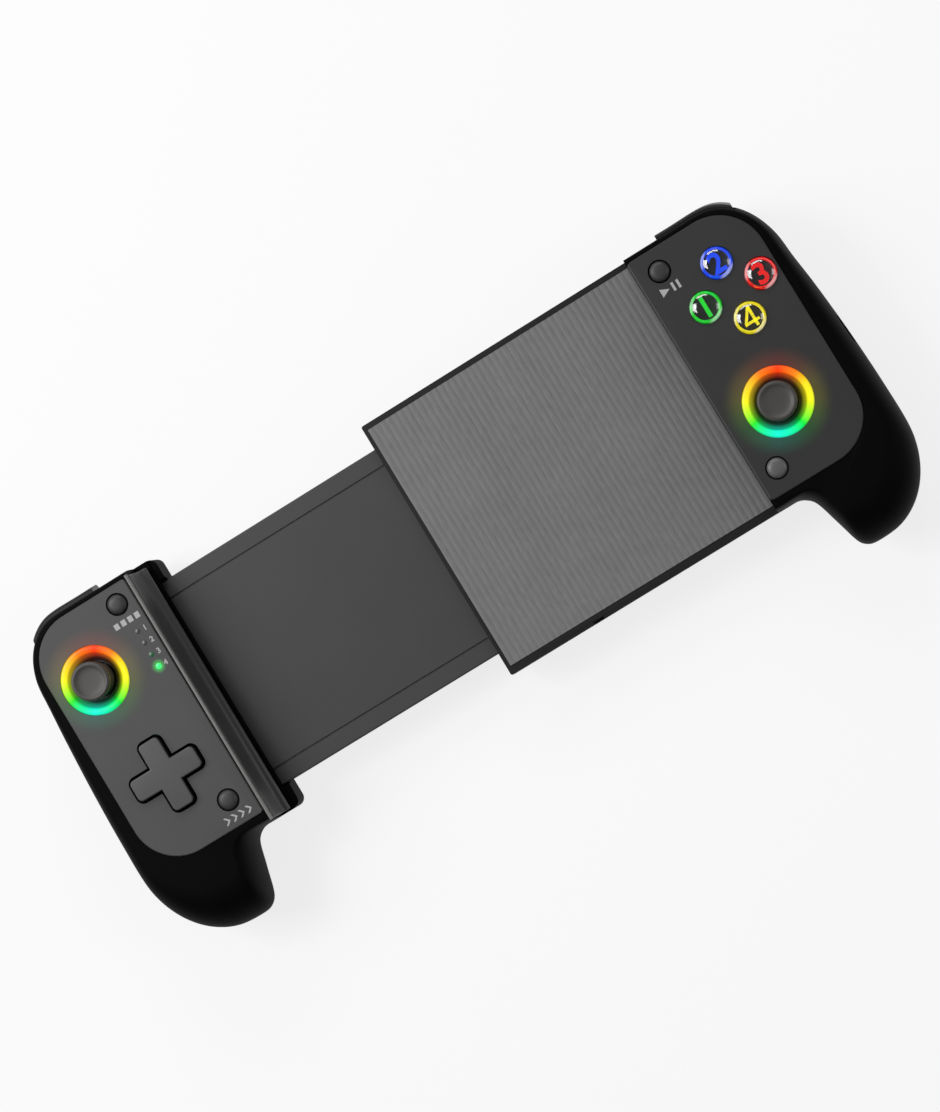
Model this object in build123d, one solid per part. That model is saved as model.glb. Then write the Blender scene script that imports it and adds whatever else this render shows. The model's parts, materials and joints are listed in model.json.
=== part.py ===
from build123d import *
from collections import namedtuple
from math import atan2, cos, hypot, pi, radians, sin, tan
import os

# A game controller that stretches to grip a phone between its two halves.
# +X runs to the half with the round buttons, +Y to the shoulder edge, +Z out of the face.
# The origin is below the middle of the open controller, level with the backs of the grips.

# the phone space and the heights that every piece follows
phone_gap = 172.0
phone_axis_y = 9.7
face_z = 32.0
pad_z = 17.5
parting_z = 15.0
roof_underside_z = 28.6
board_top_z = 20.4
board_thickness = 1.6
stretch = 72.5
wall = 2.0
gap = 0.3
fit_gap = 0.05
seat_gap = 0.1
overrun = 5.0

# outline of one half at its widest level, from the jaw outwards and from the origin line up and down
waist_top = 52.4
waist_corner_in = 27.0
waist_corner_drop = 22.4
waist_side = 41.9
waist_bulge = 0.9
waist_end = 45.1
waist_tip_in = 23.0
waist_tip_y = -28.0
waist_low = -54.9
waist_inner_in = 19.5
waist_inner_r = 5.0
waist_web = -33.0
waist_web_r = 6.5

# outline of one half at the rim of its face
rim_top = 51.3
rim_corner_in = 22.6
rim_corner_drop = 15.5
rim_side = 38.4
rim_bulge = 0.0
rim_end = 38.7
rim_tip_in = 22.5
rim_tip_y = -22.0
rim_low = -40.0
rim_inner_in = 19.0
rim_inner_r = 3.0
rim_web = -31.4
rim_web_r = 5.0
rim_below_face = 0.4
horn_slant_deg = 15.3
front_power = 2.3

# oval foot on the back of each half
foot_in = 24.0
foot_y = -6.0
foot_half_width = 8.0
foot_half_length = 25.0

# face cover
cover_in = 0.9
cover_width = 36.2
cover_top = 50.3
cover_bottom = -29.4
cover_thickness = 1.6
cover_corner_r = 14.5
cover_inner_r = 1.0
cover_edge = 0.3
cover_seam = 0.2

# places on the face, from the cover's inner edge and from the origin line
left_stick_in = 23.0
left_stick_y = 29.2
right_stick_in = 15.8
right_stick_y = -5.9
dpad_in = 18.8
dpad_y = -5.2
select_in = 5.6
select_y = 44.7
turbo_in = 7.2
turbo_y = -21.1
start_in = 6.4
start_y = 43.5
home_in = 5.7
home_y = -22.0
action_in = 21.5
action_y = 27.8
action_spacing = 9.2
lamp_in = 4.4
lamp_y = 22.9
lamp_pitch = 3.95

# thumb stick
ring_outer_r = 10.3
ring_inner_r = 8.1
ring_flange_r = 11.6
ring_flange_h = 1.1
ring_proud = 0.1
stick_pivot_below_face = 8.0
stick_cap_r = 6.4
stick_cap_h = 2.9
stick_cap_rise = 6.0
stick_dish_r = 4.7
stick_dish_depth = 0.7
stick_edge_r = 0.5
stick_neck_r = 3.3
skirt_r = 6.5
skirt_wall = 0.8
skirt_edge_deg = 45.0
base_side = 14.0
base_height = 6.0
base_wall = 1.0
base_mouth_r = 5.2
yoke_outer_r = 4.8
yoke_inner_r = 3.3
yoke_height = 1.6
trunnion_r = 0.7
trunnion_length = 1.9
ball_r = 3.0
ball_flat = 2.0
ball_pin_r = 0.6
ball_pin_length = 1.5
shaft_r = 1.3
shaft_below_pivot = 2.0
shaft_sink = 2.0

# direction pad
dpad_span = 22.2
dpad_arm = 7.0
dpad_corner_r = 1.6
dpad_rise = 1.8
dpad_seam = 0.8
dpad_edge = 0.5
dpad_flange_r = 11.4
dpad_flange_h = 1.0
dpad_flange_drop = 2.4
dpad_recess_r = 4.2
dpad_recess_h = 0.7
rocker_r = 3.4
rocker_h = 1.2
rocker_gap = 0.4
pivot_post_r = 1.6
dpad_nub_r = 1.8
dpad_nub_reach = 8.0

# round buttons
menu_r = 3.0
menu_seam = 0.4
menu_rise = 1.2
menu_edge = 0.8
action_r = 4.7
action_seam = 0.2
action_rise = 2.0
action_edge = 1.3
flange_extra = 0.9
flange_h = 1.2
stem_r = 1.5
stem_tip_above_board = 4.8

# rubber sheets with domes
sheet_thickness = 0.8
dome_r = 3.2
dome_top_r = 2.0
dome_wall = 0.6
dome_rise = 4.5
sheet_edge_in = 3.0
sheet_width = 4.6
sheet_margin = 3.8

# circuit boards, and what stands on them
board_in = 2.6
board_outer_in = 34.6
board_low = -27.0
board_high = 42.4
board_tab_width = 7.4
board_tab_top = 48.4
post_r = 2.0
post_tip_r = 1.0
post_tip_length = 2.2
post_a_in = 4.9
post_a_y = 12.0
post_b_in = 31.6
post_b_y = 10.0
post_c_in = 25.1
post_c_y = -23.0
chip_side = 7.0
chip_height = 1.0
chip_in = 20.0
chip_y = 13.4
lamp_r = 0.6
lamp_bar = 1.4
lamp_bar_h = 4.6

# charging port in the right half's outer side
port_width = 9.0
port_height = 3.2
port_depth = 7.2
port_wall = 0.4
port_y = 2.0
port_end_in = 43.6
port_board_in = 41.2
port_board_half = 7.0
port_tongue = 0.7

# shoulder buttons
bumper_start_in = 11.2
bumper_end_in = 34.5
bumper_proud = 1.4
bumper_taper = 0.9
bumper_low_z = 20.0
bumper_high_z = 29.2
bumper_depth = 2.2
bumper_pivot_in = 14.2
bumper_pivot_y = 46.0
bumper_post_r = 1.5
bumper_arm_wall = 1.5
bumper_slot_gap = 0.5
bumper_travel_gap = 1.1
bumper_low_share = 0.6
bumper_upper_share = 0.9
bumper_high_share = 0.5
trigger_start_in = 12.0
trigger_end_in = 31.6
trigger_pin_y = 46.0
trigger_pin_z = 14.5
trigger_pin_r = 1.0
trigger_boss_r = 2.5
trigger_boss_start = 2.8
trigger_top_z = 17.4
trigger_tip_z = 2.4
trigger_outer_y = 54.6
trigger_tip_y = 49.6
trigger_thickness = 3.6
trigger_inner_share = 0.55
trigger_slot_gap = 0.5
trigger_slot_low_z = 5.4
trigger_slot_y = 43.6
ear_thickness = 2.0
ear_r = 2.6
ear_low_z = 8.0
spring_wire_r = 0.25
spring_coil_r = 1.8
spring_turns = 3.5
spring_pitch = 0.6
spring_leg = 3.0

# tray that carries the phone pad
stop_gap = 1.0
tray_half_width = 42.7
tray_bottom_z = 7.5
tray_floor = 1.5
tray_wall = 2.0
tray_deck_z = 14.7
tray_rim_z = 17.2
tray_edge_r = 1.5
pad_thickness = 1.2
pad_end_rim = 1.3
pad_top_rim = 1.8
pad_low_rim = 2.6
tongue_in = 8.0
tongue_half_width = 36.0
notch_x = 24.7
notch_width = 3.5
notch_depth = 1.0
notch_drop = 3.0
rail_thickness = 0.8
rail_lip = 1.6
tray_rib_count = 4

# plate that slides in the tray
plate_half_width = 35.2
plate_top_z = 14.3
plate_underside_z = 10.1
plate_reach = 6.5
plate_root_in = 11.5
plate_groove_y = 29.7
plate_groove_width = 0.6
plate_groove_depth = 0.5
plate_edge = 0.4
lid_thickness = 0.8
lid_margin = 2.4
lid_setback = 14.0
channel_y = 24.0
channel_width = 3.8
channel_height = 3.2
channel_length = 48.0
cable_channel_half = 5.5
cable_channel_h = 2.4
cable_half_width = 4.5
cable_thickness = 0.2
cable_lift = 0.25
peg_r = 0.6
peg_height = 2.2
pull_peg_setback = 1.4
pull_coil_r = 1.1
pull_wire_r = 0.28
pull_start_in = 3.5
pull_leg = 3.0
pull_hook_r = 0.36

# jaws
ledge_in = 4.6
cheek_in = 6.8
cheek_z = 16.8
cheek_gap = 0.6
ledge_corner_r = 2.5
neck_in = 6.0
neck_z = 7.0
jaw_pad_low_z = 18.2
jaw_pad_high_z = 30.8
jaw_pad_foot = 3.2
jaw_pad_head = 0.5
jaw_pad_seat = 0.8
jaw_pad_margin = 1.8

# screws
screw_r = 1.0
screw_head_r = 1.8
screw_head_h = 1.3
screw_hole_gap = 0.1
boss_r = 2.2
boss_seat_z = 8.8
boss_high_z = 24.0
screw_a_in = 14.2
screw_a_y = 39.4
screw_b_in = 7.2
screw_b_y = -29.0
screw_c_in = 21.0
screw_c_y = -45.0
plate_screw_in = 8.0
plate_screw_y = 17.0
plate_boss_low_z = 3.0
tray_screw_setback = 8.0
tray_screw_y = 39.3
tray_screw_head_h = 0.8

# motors and battery
motor_r = 3.6
motor_length = 11.0
motor_in = 27.5
motor_y = -38.5
motor_z = 10.0
weight_r = 3.0
weight_length = 3.0
motor_shaft_r = 0.6
cradle_wall = 1.2
battery_in = 12.0
battery_width = 22.0
battery_low = -20.0
battery_length = 40.0
battery_height = 5.0
battery_z = 5.2
battery_edge = 1.0
rib_thickness = 1.5
rib_setback = 6.0

jaw_x = phone_gap / 2
cover_x = jaw_x + cover_in
rim_z = face_z - rim_below_face
pivot_z = face_z - stick_pivot_below_face
board_z = board_top_z - board_thickness
plate_end_x = jaw_x + plate_reach - stretch
tray_end_x = stretch + cheek_in + stop_gap - jaw_x
channel_start_x = plate_end_x - channel_length
pull_start_x = channel_start_x + pull_start_in
pull_peg_x = jaw_x - pull_peg_setback

Outline = namedtuple("Outline", "top corner_in drop side bulge end tip_in tip_y low inner_in inner_r web web_r")
waist = Outline(
    waist_top, waist_corner_in, waist_corner_drop, waist_side, waist_bulge, waist_end, waist_tip_in,
    waist_tip_y, waist_low, waist_inner_in, waist_inner_r, waist_web, waist_web_r,
)
rim = Outline(
    rim_top, rim_corner_in, rim_corner_drop, rim_side, rim_bulge, rim_end, rim_tip_in,
    rim_tip_y, rim_low, rim_inner_in, rim_inner_r, rim_web, rim_web_r,
)


# small helpers for upright, sideways and boxed solids
def upright(x, y, r, z0, z1):
    return Pos(x, y, z0) * Cylinder(r, z1 - z0, align=(Align.CENTER, Align.CENTER, Align.MIN))


def along_x(r, x0, x1, y, z):
    return Pos((x0 + x1) / 2, y, z) * Rot(0, 90, 0) * Cylinder(r, abs(x1 - x0))


def along_y(r, y0, y1, x, z):
    return Pos(x, (y0 + y1) / 2, z) * Rot(90, 0, 0) * Cylinder(r, y1 - y0)


def block(x0, x1, y0, y1, z0, z1):
    return Pos((x0 + x1) / 2, (y0 + y1) / 2, (z0 + z1) / 2) * Box(x1 - x0, y1 - y0, z1 - z0)


def handed(shape, left):
    return mirror(shape, about=Plane.YZ) if left else shape


def group(shapes):
    return Compound([solid for shape in shapes for solid in shape.solids()])


# outline of one half, walked from the top of the jaw round the grip to the foot of the jaw
def outline_points(o):
    slant = radians(horn_slant_deg)
    side_y = o.top - o.drop
    points = []

    def straight(start, end, count):
        for i in range(count):
            t = i / count
            points.append((start[0] + (end[0] - start[0]) * t, start[1] + (end[1] - start[1]) * t))

    def curve(x, y, rx, ry, start, end, count):
        for i in range(count):
            angle = start + (end - start) * i / count
            points.append((x + rx * cos(angle), y + ry * sin(angle)))

    corner_x = jaw_x + o.corner_in
    side_x = jaw_x + o.side
    end_x = jaw_x + o.end
    tip_x = jaw_x + o.tip_in
    inner_x = jaw_x + o.inner_in
    straight((jaw_x, o.top), (corner_x, o.top), 4)
    curve(corner_x, side_y, side_x - corner_x, o.drop, pi / 2, 0, 7)
    for i in range(7):
        t = i / 7
        points.append((side_x + (end_x - side_x) * t + o.bulge * 4 * t * (1 - t), side_y + (o.tip_y - side_y) * t))
    curve(tip_x, o.tip_y, end_x - tip_x, o.tip_y - o.low, 0, -pi / 2, 8)
    straight((tip_x, o.low), (inner_x, o.low), 1)
    curve(inner_x, o.low + o.inner_r, o.inner_r, o.inner_r, -pi / 2, slant - pi, 4)
    horn_x = inner_x - o.inner_r * cos(slant)
    horn_y = o.low + o.inner_r - o.inner_r * sin(slant)
    neck_y = o.web - o.web_r + o.web_r * sin(slant)
    neck_x = horn_x - (neck_y - horn_y) * tan(slant)
    straight((horn_x, horn_y), (neck_x, neck_y), 3)
    curve(neck_x - o.web_r * cos(slant), o.web - o.web_r, o.web_r, o.web_r, slant, pi / 2, 4)
    straight((neck_x - o.web_r * cos(slant), o.web), (jaw_x, o.web), 2)
    points.append((jaw_x, o.web))
    return points


def inset(points, depth):
    moved = [(points[0][0] + depth, points[0][1] - depth)]
    for before, here, after in zip(points, points[1:], points[2:]):
        run = hypot(after[0] - before[0], after[1] - before[1])
        moved.append((here[0] + depth * (after[1] - before[1]) / run, here[1] - depth * (after[0] - before[0]) / run))
    moved.append((points[-1][0] + depth, points[-1][1] + depth))
    return moved


def section(points, z):
    round_side = Spline(*[(x, y, z) for x, y in points])
    jaw_side = Line((*points[-1], z), (*points[0], z))
    return make_face(Wire([round_side, jaw_side]))


def outline_at(z):
    share = min((z - parting_z) / (rim_z - parting_z), 1)
    narrowing = 1 - (1 - share**front_power) ** (1 / front_power)
    return outline_points(Outline(*[a + (b - a) * narrowing for a, b in zip(waist, rim)]))


# front body from the parting plane to the rim, set in by a depth and stopping at a height
def front_body(depth, top_z, count=7):
    faces = []
    for i in range(count + 1):
        rise = sin(pi / 2 * i / count)
        points = outline_at(parting_z + (rim_z - parting_z) * rise)
        faces.append(section(inset(points, depth), parting_z + (top_z - parting_z) * rise))
    return loft(faces)


# rear body from the parting plane down to the oval foot
def rear_body(depth, count=6):
    foot_x = jaw_x + foot_in
    faces = []
    for i in range(count + 1):
        angle = pi / 2 * i / count
        share = 1 - cos(angle)
        points = []
        for x, y in outline_points(waist):
            turn = atan2((y - foot_y) / foot_half_length, (x - foot_x) / foot_half_width)
            foot = (foot_x + foot_half_width * cos(turn), foot_y + foot_half_length * sin(turn))
            points.append((x + (foot[0] - x) * share, y + (foot[1] - y) * share))
        faces.append(section(inset(points, depth), parting_z - (parting_z - depth) * sin(angle)))
    return loft(faces)


front_solid = front_body(0, rim_z)
front_space = front_body(wall, roof_underside_z)
front_room = front_body(wall + gap, roof_underside_z)
rear_solid = rear_body(0)
rear_space = rear_body(wall)


# face cover and what passes through it
def cover_plan(grow):
    sketch = Pos(cover_x + cover_width / 2, (cover_top + cover_bottom) / 2) * Rectangle(
        cover_width + 2 * grow, cover_top - cover_bottom + 2 * grow
    )
    sketch = fillet(sketch.vertices().sort_by(Axis.X)[2:], cover_corner_r + grow)
    inner = sketch.vertices().sort_by(Axis.X)[:2]
    return fillet(inner, cover_inner_r)


def cross_plan(x, y, grow):
    long_side = dpad_span + 2 * grow
    arm = dpad_arm + 2 * grow
    plan = Rectangle(long_side, arm) + Rectangle(arm, long_side)
    ends = [v for v in plan.vertices() if max(abs(v.X), abs(v.Y)) > dpad_arm]
    return Pos(x, y) * fillet(ends, dpad_corner_r + grow)


def prism(plan, z0, z1):
    return extrude(Pos(0, 0, z0) * plan, z1 - z0)


def menu_places(left):
    if left:
        return [(cover_x + select_in, select_y), (cover_x + turbo_in, turbo_y)]
    return [(cover_x + start_in, start_y), (cover_x + home_in, home_y)]


def action_places():
    x = cover_x + action_in
    return {
        "green_button": (x - action_spacing, action_y),
        "blue_button": (x, action_y + action_spacing),
        "red_button": (x + action_spacing, action_y),
        "yellow_button": (x, action_y - action_spacing),
    }


def lamp_places():
    return [(cover_x + lamp_in, lamp_y + lamp_pitch * i) for i in range(4)]


def stick_place(left):
    return (cover_x + left_stick_in, left_stick_y) if left else (cover_x + right_stick_in, right_stick_y)


# everything that has to pass through the cover and the roof of a half
def face_openings(left, z0, z1):
    x, y = stick_place(left)
    cuts = [upright(x, y, ring_outer_r + seat_gap, z0, z1)]
    for mx, my in menu_places(left):
        cuts.append(upright(mx, my, menu_r + menu_seam, z0, z1))
    if left:
        cuts.append(prism(cross_plan(cover_x + dpad_in, dpad_y, dpad_seam), z0, z1))
        for lx, ly in lamp_places():
            cuts.append(upright(lx, ly, lamp_r + fit_gap, z0, z1))
    else:
        for ax, ay in action_places().values():
            cuts.append(upright(ax, ay, action_r + action_seam, z0, z1))
    return cuts


def face_cover(left):
    low = face_z - cover_thickness
    plate = prism(cover_plan(0), low, face_z)
    plate = chamfer(plate.edges().group_by(Axis.Z)[-1], cover_edge)
    for cut in face_openings(left, low - overrun, face_z + overrun):
        plate -= cut
    return handed(plate, left)


def screw_places():
    return [
        (jaw_x + screw_a_in, screw_a_y),
        (jaw_x + screw_b_in, screw_b_y),
        (jaw_x + screw_c_in, screw_c_y),
    ]


def post_places():
    return [
        (jaw_x + post_a_in, post_a_y),
        (jaw_x + post_b_in, post_b_y),
        (jaw_x + post_c_in, post_c_y),
    ]


# windows for the shoulder buttons
def bumper_window():
    return block(
        jaw_x + bumper_start_in - bumper_slot_gap, jaw_x + bumper_end_in + bumper_slot_gap,
        bumper_pivot_y - bumper_arm_wall, waist_top + overrun,
        bumper_low_z - bumper_slot_gap, bumper_high_z + bumper_slot_gap,
    )


def trigger_window():
    return block(
        jaw_x + trigger_start_in - trigger_slot_gap, jaw_x + trigger_end_in + trigger_slot_gap,
        trigger_slot_y, waist_top + overrun,
        trigger_slot_low_z, trigger_top_z + trigger_slot_gap,
    )


# lip and cheeks under the left jaw, from the jaw towards the phone
def ledge(z0, z1):
    body = block(jaw_x - cheek_in, jaw_x + neck_in, waist_web, waist_top, z0, z1)
    corners = body.edges().filter_by(Axis.Z).group_by(Axis.X)[0]
    return fillet(corners, ledge_corner_r)


def plate_gap(x0, x1, z0, z1, grow):
    half = plate_half_width + grow
    return block(x0, x1, phone_axis_y - half, phone_axis_y + half, z0, z1)


def jaw_seat(left, grow):
    low = waist_web + jaw_pad_margin - grow
    high = rim_top - jaw_pad_margin + grow
    return block(jaw_x - overrun, jaw_x + jaw_pad_seat + grow, low, high, jaw_pad_low_z - grow, jaw_pad_high_z + grow)


def front_shell(left):
    shell = front_solid - front_space
    for x, y in screw_places():
        shell += upright(x, y, boss_r, parting_z, roof_underside_z) & front_solid
    for x, y in post_places():
        shell += upright(x, y, post_r, board_top_z, roof_underside_z)
        shell += upright(x, y, post_tip_r, board_top_z - post_tip_length, roof_underside_z)
    if left:
        lip = ledge(parting_z, pad_z)
        cheek_cut = block(
            jaw_x - cheek_in - overrun, jaw_x - ledge_in,
            waist_web - overrun, waist_top + overrun, cheek_z, pad_z + overrun,
        )
        lip -= cheek_cut
        lip -= plate_gap(jaw_x - cheek_in - overrun, jaw_x - ledge_in, 0, face_z, cheek_gap)
        shell = shell + (lip - front_space)
    else:
        slot = block(
            jaw_x - overrun, jaw_x + wall + overrun,
            phone_axis_y - tongue_half_width - seat_gap, phone_axis_y + tongue_half_width + seat_gap,
            0, pad_z - pad_thickness + seat_gap,
        )
        shell -= slot
        shell -= port_hole(port_width + 4 * seat_gap, port_height + 4 * seat_gap)
    shell -= prism(cover_plan(cover_seam), face_z - cover_thickness, face_z + overrun)
    for cut in face_openings(left, roof_underside_z - overrun, face_z + overrun):
        shell -= cut
    for x, y in screw_places():
        shell -= upright(x, y, screw_r + fit_gap, 0, boss_high_z - wall)
    shell -= bumper_window()
    post_top = face_z - cover_thickness
    shell += upright(jaw_x + bumper_pivot_in, bumper_pivot_y, bumper_post_r, bumper_low_z - gap, post_top)
    shell -= trigger_window()
    shell -= jaw_seat(left, 0)
    return handed(shell, left)


def port_hole(width, height):
    z = board_top_z + port_height / 2
    end = jaw_x + waist_end + overrun
    plan = Plane.YZ * SlotOverall(width, height)
    return Pos(jaw_x + port_board_in - port_depth, port_y, z) * extrude(plan, end)


# ears that carry the trigger's pin
def ears(left):
    starts = (
        jaw_x + trigger_start_in - ear_thickness - 2 * gap,
        jaw_x + trigger_end_in + 2 * gap,
    )
    body = rear_solid + front_room
    pair = []
    for x in starts:
        ear = along_x(ear_r, x, x + ear_thickness, trigger_pin_y, trigger_pin_z)
        ear += block(x, x + ear_thickness, trigger_pin_y - ear_r, trigger_pin_y + ear_r, ear_low_z, trigger_pin_z)
        pair.append(ear & body)
    return pair


def rear_shell(left):
    outer = rear_solid
    if left:
        outer = outer + ledge(neck_z, parting_z)
    else:
        outer = outer + block(jaw_x, jaw_x + neck_in, waist_web, waist_top, neck_z, parting_z)
    shell = outer - rear_space
    for x, y in screw_places():
        shell += upright(x, y, boss_r + seat_gap, 0, parting_z) & rear_solid
    for ear in ears(left):
        shell += ear
    mx = jaw_x + motor_in
    cradle = block(
        mx - motor_r - cradle_wall, mx + motor_r + cradle_wall,
        motor_y - motor_length / 4, motor_y + motor_length / 4, 0, motor_z,
    )
    shell += (cradle - along_y(motor_r + fit_gap, motor_y - motor_length, motor_y + motor_length, mx, motor_z)) & rear_solid
    if left:
        shell -= plate_gap(
            jaw_x - cheek_in - overrun, jaw_x + plate_root_in + gap,
            plate_underside_z - lid_thickness, parting_z, fit_gap,
        )
        for x, y in plate_screw_places():
            shell += upright(x, y, boss_r, 0, plate_underside_z) & rear_solid
            shell -= upright(x, y, screw_r + fit_gap, plate_boss_low_z + wall, parting_z)
    else:
        shell -= block(
            jaw_x - overrun, jaw_x + tongue_in + gap,
            phone_axis_y - tongue_half_width - seat_gap, phone_axis_y + tongue_half_width + seat_gap,
            tray_bottom_z - seat_gap, parting_z,
        )
        for i in (0, 1):
            y = battery_low + rib_setback + i * (battery_length - 2 * rib_setback)
            x = jaw_x + battery_in
            shell += block(x, x + battery_width, y - rib_thickness / 2, y + rib_thickness / 2, 0, battery_z) & rear_solid
    for x, y in screw_places():
        shell -= upright(x, y, screw_head_r + screw_hole_gap, -overrun, boss_seat_z)
        shell -= upright(x, y, screw_r + screw_hole_gap, 0, parting_z + overrun)
    shell -= trigger_window()
    pin_start = jaw_x + trigger_start_in - ear_thickness - 2 * gap
    pin_end = jaw_x + trigger_end_in + ear_thickness + 2 * gap
    shell -= along_x(trigger_pin_r + fit_gap / 2, pin_start - gap, pin_end + gap, trigger_pin_y, trigger_pin_z)
    return handed(shell, left)


def plate_screw_places():
    x = jaw_x + plate_screw_in
    return [(x, phone_axis_y - plate_screw_y), (x, phone_axis_y + plate_screw_y)]


def shell_screws(left):
    solids = []
    for x, y in screw_places():
        head = upright(x, y, screw_head_r, boss_seat_z - screw_head_h, boss_seat_z)
        slot = Pos(x, y, boss_seat_z - screw_head_h) * (
            Box(screw_head_r, screw_head_h / 2, screw_head_h / 2) + Box(screw_head_h / 2, screw_head_r, screw_head_h / 2)
        )
        shank = upright(x, y, screw_r, boss_seat_z, boss_high_z - wall - gap)
        solids.append(head - slot + shank)
    return handed(group(solids), left)


# light ring, pressed up against the underside of the roof
def light_ring(left):
    x, y = stick_place(left)
    top = face_z + ring_proud
    ring = upright(x, y, ring_outer_r, roof_underside_z - ring_flange_h, top)
    ring += upright(x, y, ring_flange_r, roof_underside_z - ring_flange_h, roof_underside_z)
    ring -= upright(x, y, ring_inner_r, 0, top + overrun)
    return handed(ring, left)


# thumb stick, from the housing up to the cap
def stick_base(left):
    x, y = stick_place(left)
    top = board_top_z + base_height
    half = base_side / 2
    base = block(x - half, x + half, y - half, y + half, board_top_z, top)
    inner = half - base_wall
    base -= block(x - inner, x + inner, y - inner, y + inner, board_top_z - overrun, top - base_wall)
    base -= upright(x, y, base_mouth_r, 0, top + overrun)
    base -= along_x(trunnion_r + fit_gap, x - base_side, x + base_side, y, pivot_z)
    return handed(base, left)


def stick_yoke(left):
    x, y = stick_place(left)
    yoke = upright(x, y, yoke_outer_r, pivot_z - yoke_height / 2, pivot_z + yoke_height / 2)
    reach = yoke_outer_r + trunnion_length
    yoke += along_x(trunnion_r, x - reach, x + reach, y, pivot_z)
    yoke -= upright(x, y, yoke_inner_r, 0, face_z)
    yoke -= along_y(ball_pin_r + fit_gap, y - yoke_outer_r - overrun, y + yoke_outer_r + overrun, x, pivot_z)
    return handed(yoke, left)


def stick_ball(left):
    x, y = stick_place(left)
    ball = Pos(x, y, pivot_z) * Sphere(ball_r)
    ball -= block(x - ball_r, x + ball_r, y - ball_r, y + ball_r, 0, pivot_z - ball_flat)
    reach = ball_r + ball_pin_length
    ball += along_y(ball_pin_r, y - reach, y + reach, x, pivot_z)
    ball -= upright(x, y, shaft_r + fit_gap, 0, face_z)
    return handed(ball, left)


def stick_shaft(left):
    x, y = stick_place(left)
    top = face_z + stick_cap_rise - stick_dish_depth - shaft_sink
    shaft = upright(x, y, shaft_r, pivot_z - shaft_below_pivot, top)
    return handed(shaft, left)


def stick_cap(left):
    x, y = stick_place(left)
    top = face_z + stick_cap_rise
    low = top - stick_cap_h
    cap = upright(x, y, stick_cap_r, low, top)
    cap = fillet(cap.edges().filter_by(GeomType.CIRCLE), stick_edge_r)
    bowl_r = (stick_dish_r**2 + stick_dish_depth**2) / (2 * stick_dish_depth)
    cap -= Pos(x, y, top - stick_dish_depth + bowl_r) * Sphere(bowl_r)
    skirt_top = pivot_z + skirt_r
    edge = skirt_r * cos(radians(skirt_edge_deg))
    skirt = Sphere(skirt_r) - Sphere(skirt_r - skirt_wall)
    skirt &= upright(0, 0, skirt_r, edge, skirt_r)
    cap += Pos(x, y, pivot_z) * skirt
    cap += upright(x, y, stick_neck_r, skirt_top - skirt_wall / 2, low + stick_edge_r)
    shaft_top = face_z + stick_cap_rise - stick_dish_depth - shaft_sink
    cap -= upright(x, y, shaft_r, 0, shaft_top)
    return handed(cap, left)


# direction pad and the puck that it rocks on
def dpad_cap():
    x = cover_x + dpad_in
    flange_top = roof_underside_z - gap - (dpad_flange_drop - dpad_flange_h)
    flange_low = flange_top - dpad_flange_h
    pad = prism(cross_plan(x, dpad_y, 0), flange_low, face_z + dpad_rise)
    pad = fillet(pad.edges().group_by(Axis.Z)[-1], dpad_edge)
    pad += upright(x, dpad_y, dpad_flange_r, flange_low, flange_top)
    for dx, dy in ((1, 0), (-1, 0), (0, 1), (0, -1)):
        pad += upright(
            x + dx * dpad_nub_reach, dpad_y + dy * dpad_nub_reach, dpad_nub_r,
            board_top_z + stem_tip_above_board + gap, flange_low,
        )
    pad -= upright(x, dpad_y, dpad_recess_r, 0, flange_low + dpad_recess_h)
    return handed(pad, True)


def dpad_rocker():
    x = cover_x + dpad_in
    recess_z = roof_underside_z - gap - dpad_flange_drop + dpad_recess_h
    top = recess_z - rocker_gap
    puck = upright(x, dpad_y, rocker_r, top - rocker_h, top)
    return handed(puck, True)


# push buttons: a cap through the cover, a flange under the roof and a stem
def push_button(x, y, r, rise, edge):
    flange_top = roof_underside_z - gap
    button = upright(x, y, r, flange_top - flange_h, face_z + rise)
    button = fillet(button.edges().group_by(Axis.Z)[-1], edge)
    button += upright(x, y, r + flange_extra, flange_top - flange_h, flange_top)
    button += upright(x, y, stem_r, board_top_z + stem_tip_above_board, flange_top)
    return button


def menu_button(place, left):
    return handed(push_button(*place, menu_r, menu_rise, menu_edge), left)


# rubber sheet on a board, with one dome under each button
def dome_places(left):
    places = menu_places(left)
    if left:
        x = cover_x + dpad_in
        for dx, dy in ((1, 0), (-1, 0), (0, 1), (0, -1)):
            places.append((x + dx * dpad_nub_reach, dpad_y + dy * dpad_nub_reach))
    else:
        places.extend(action_places().values())
    return places


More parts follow.
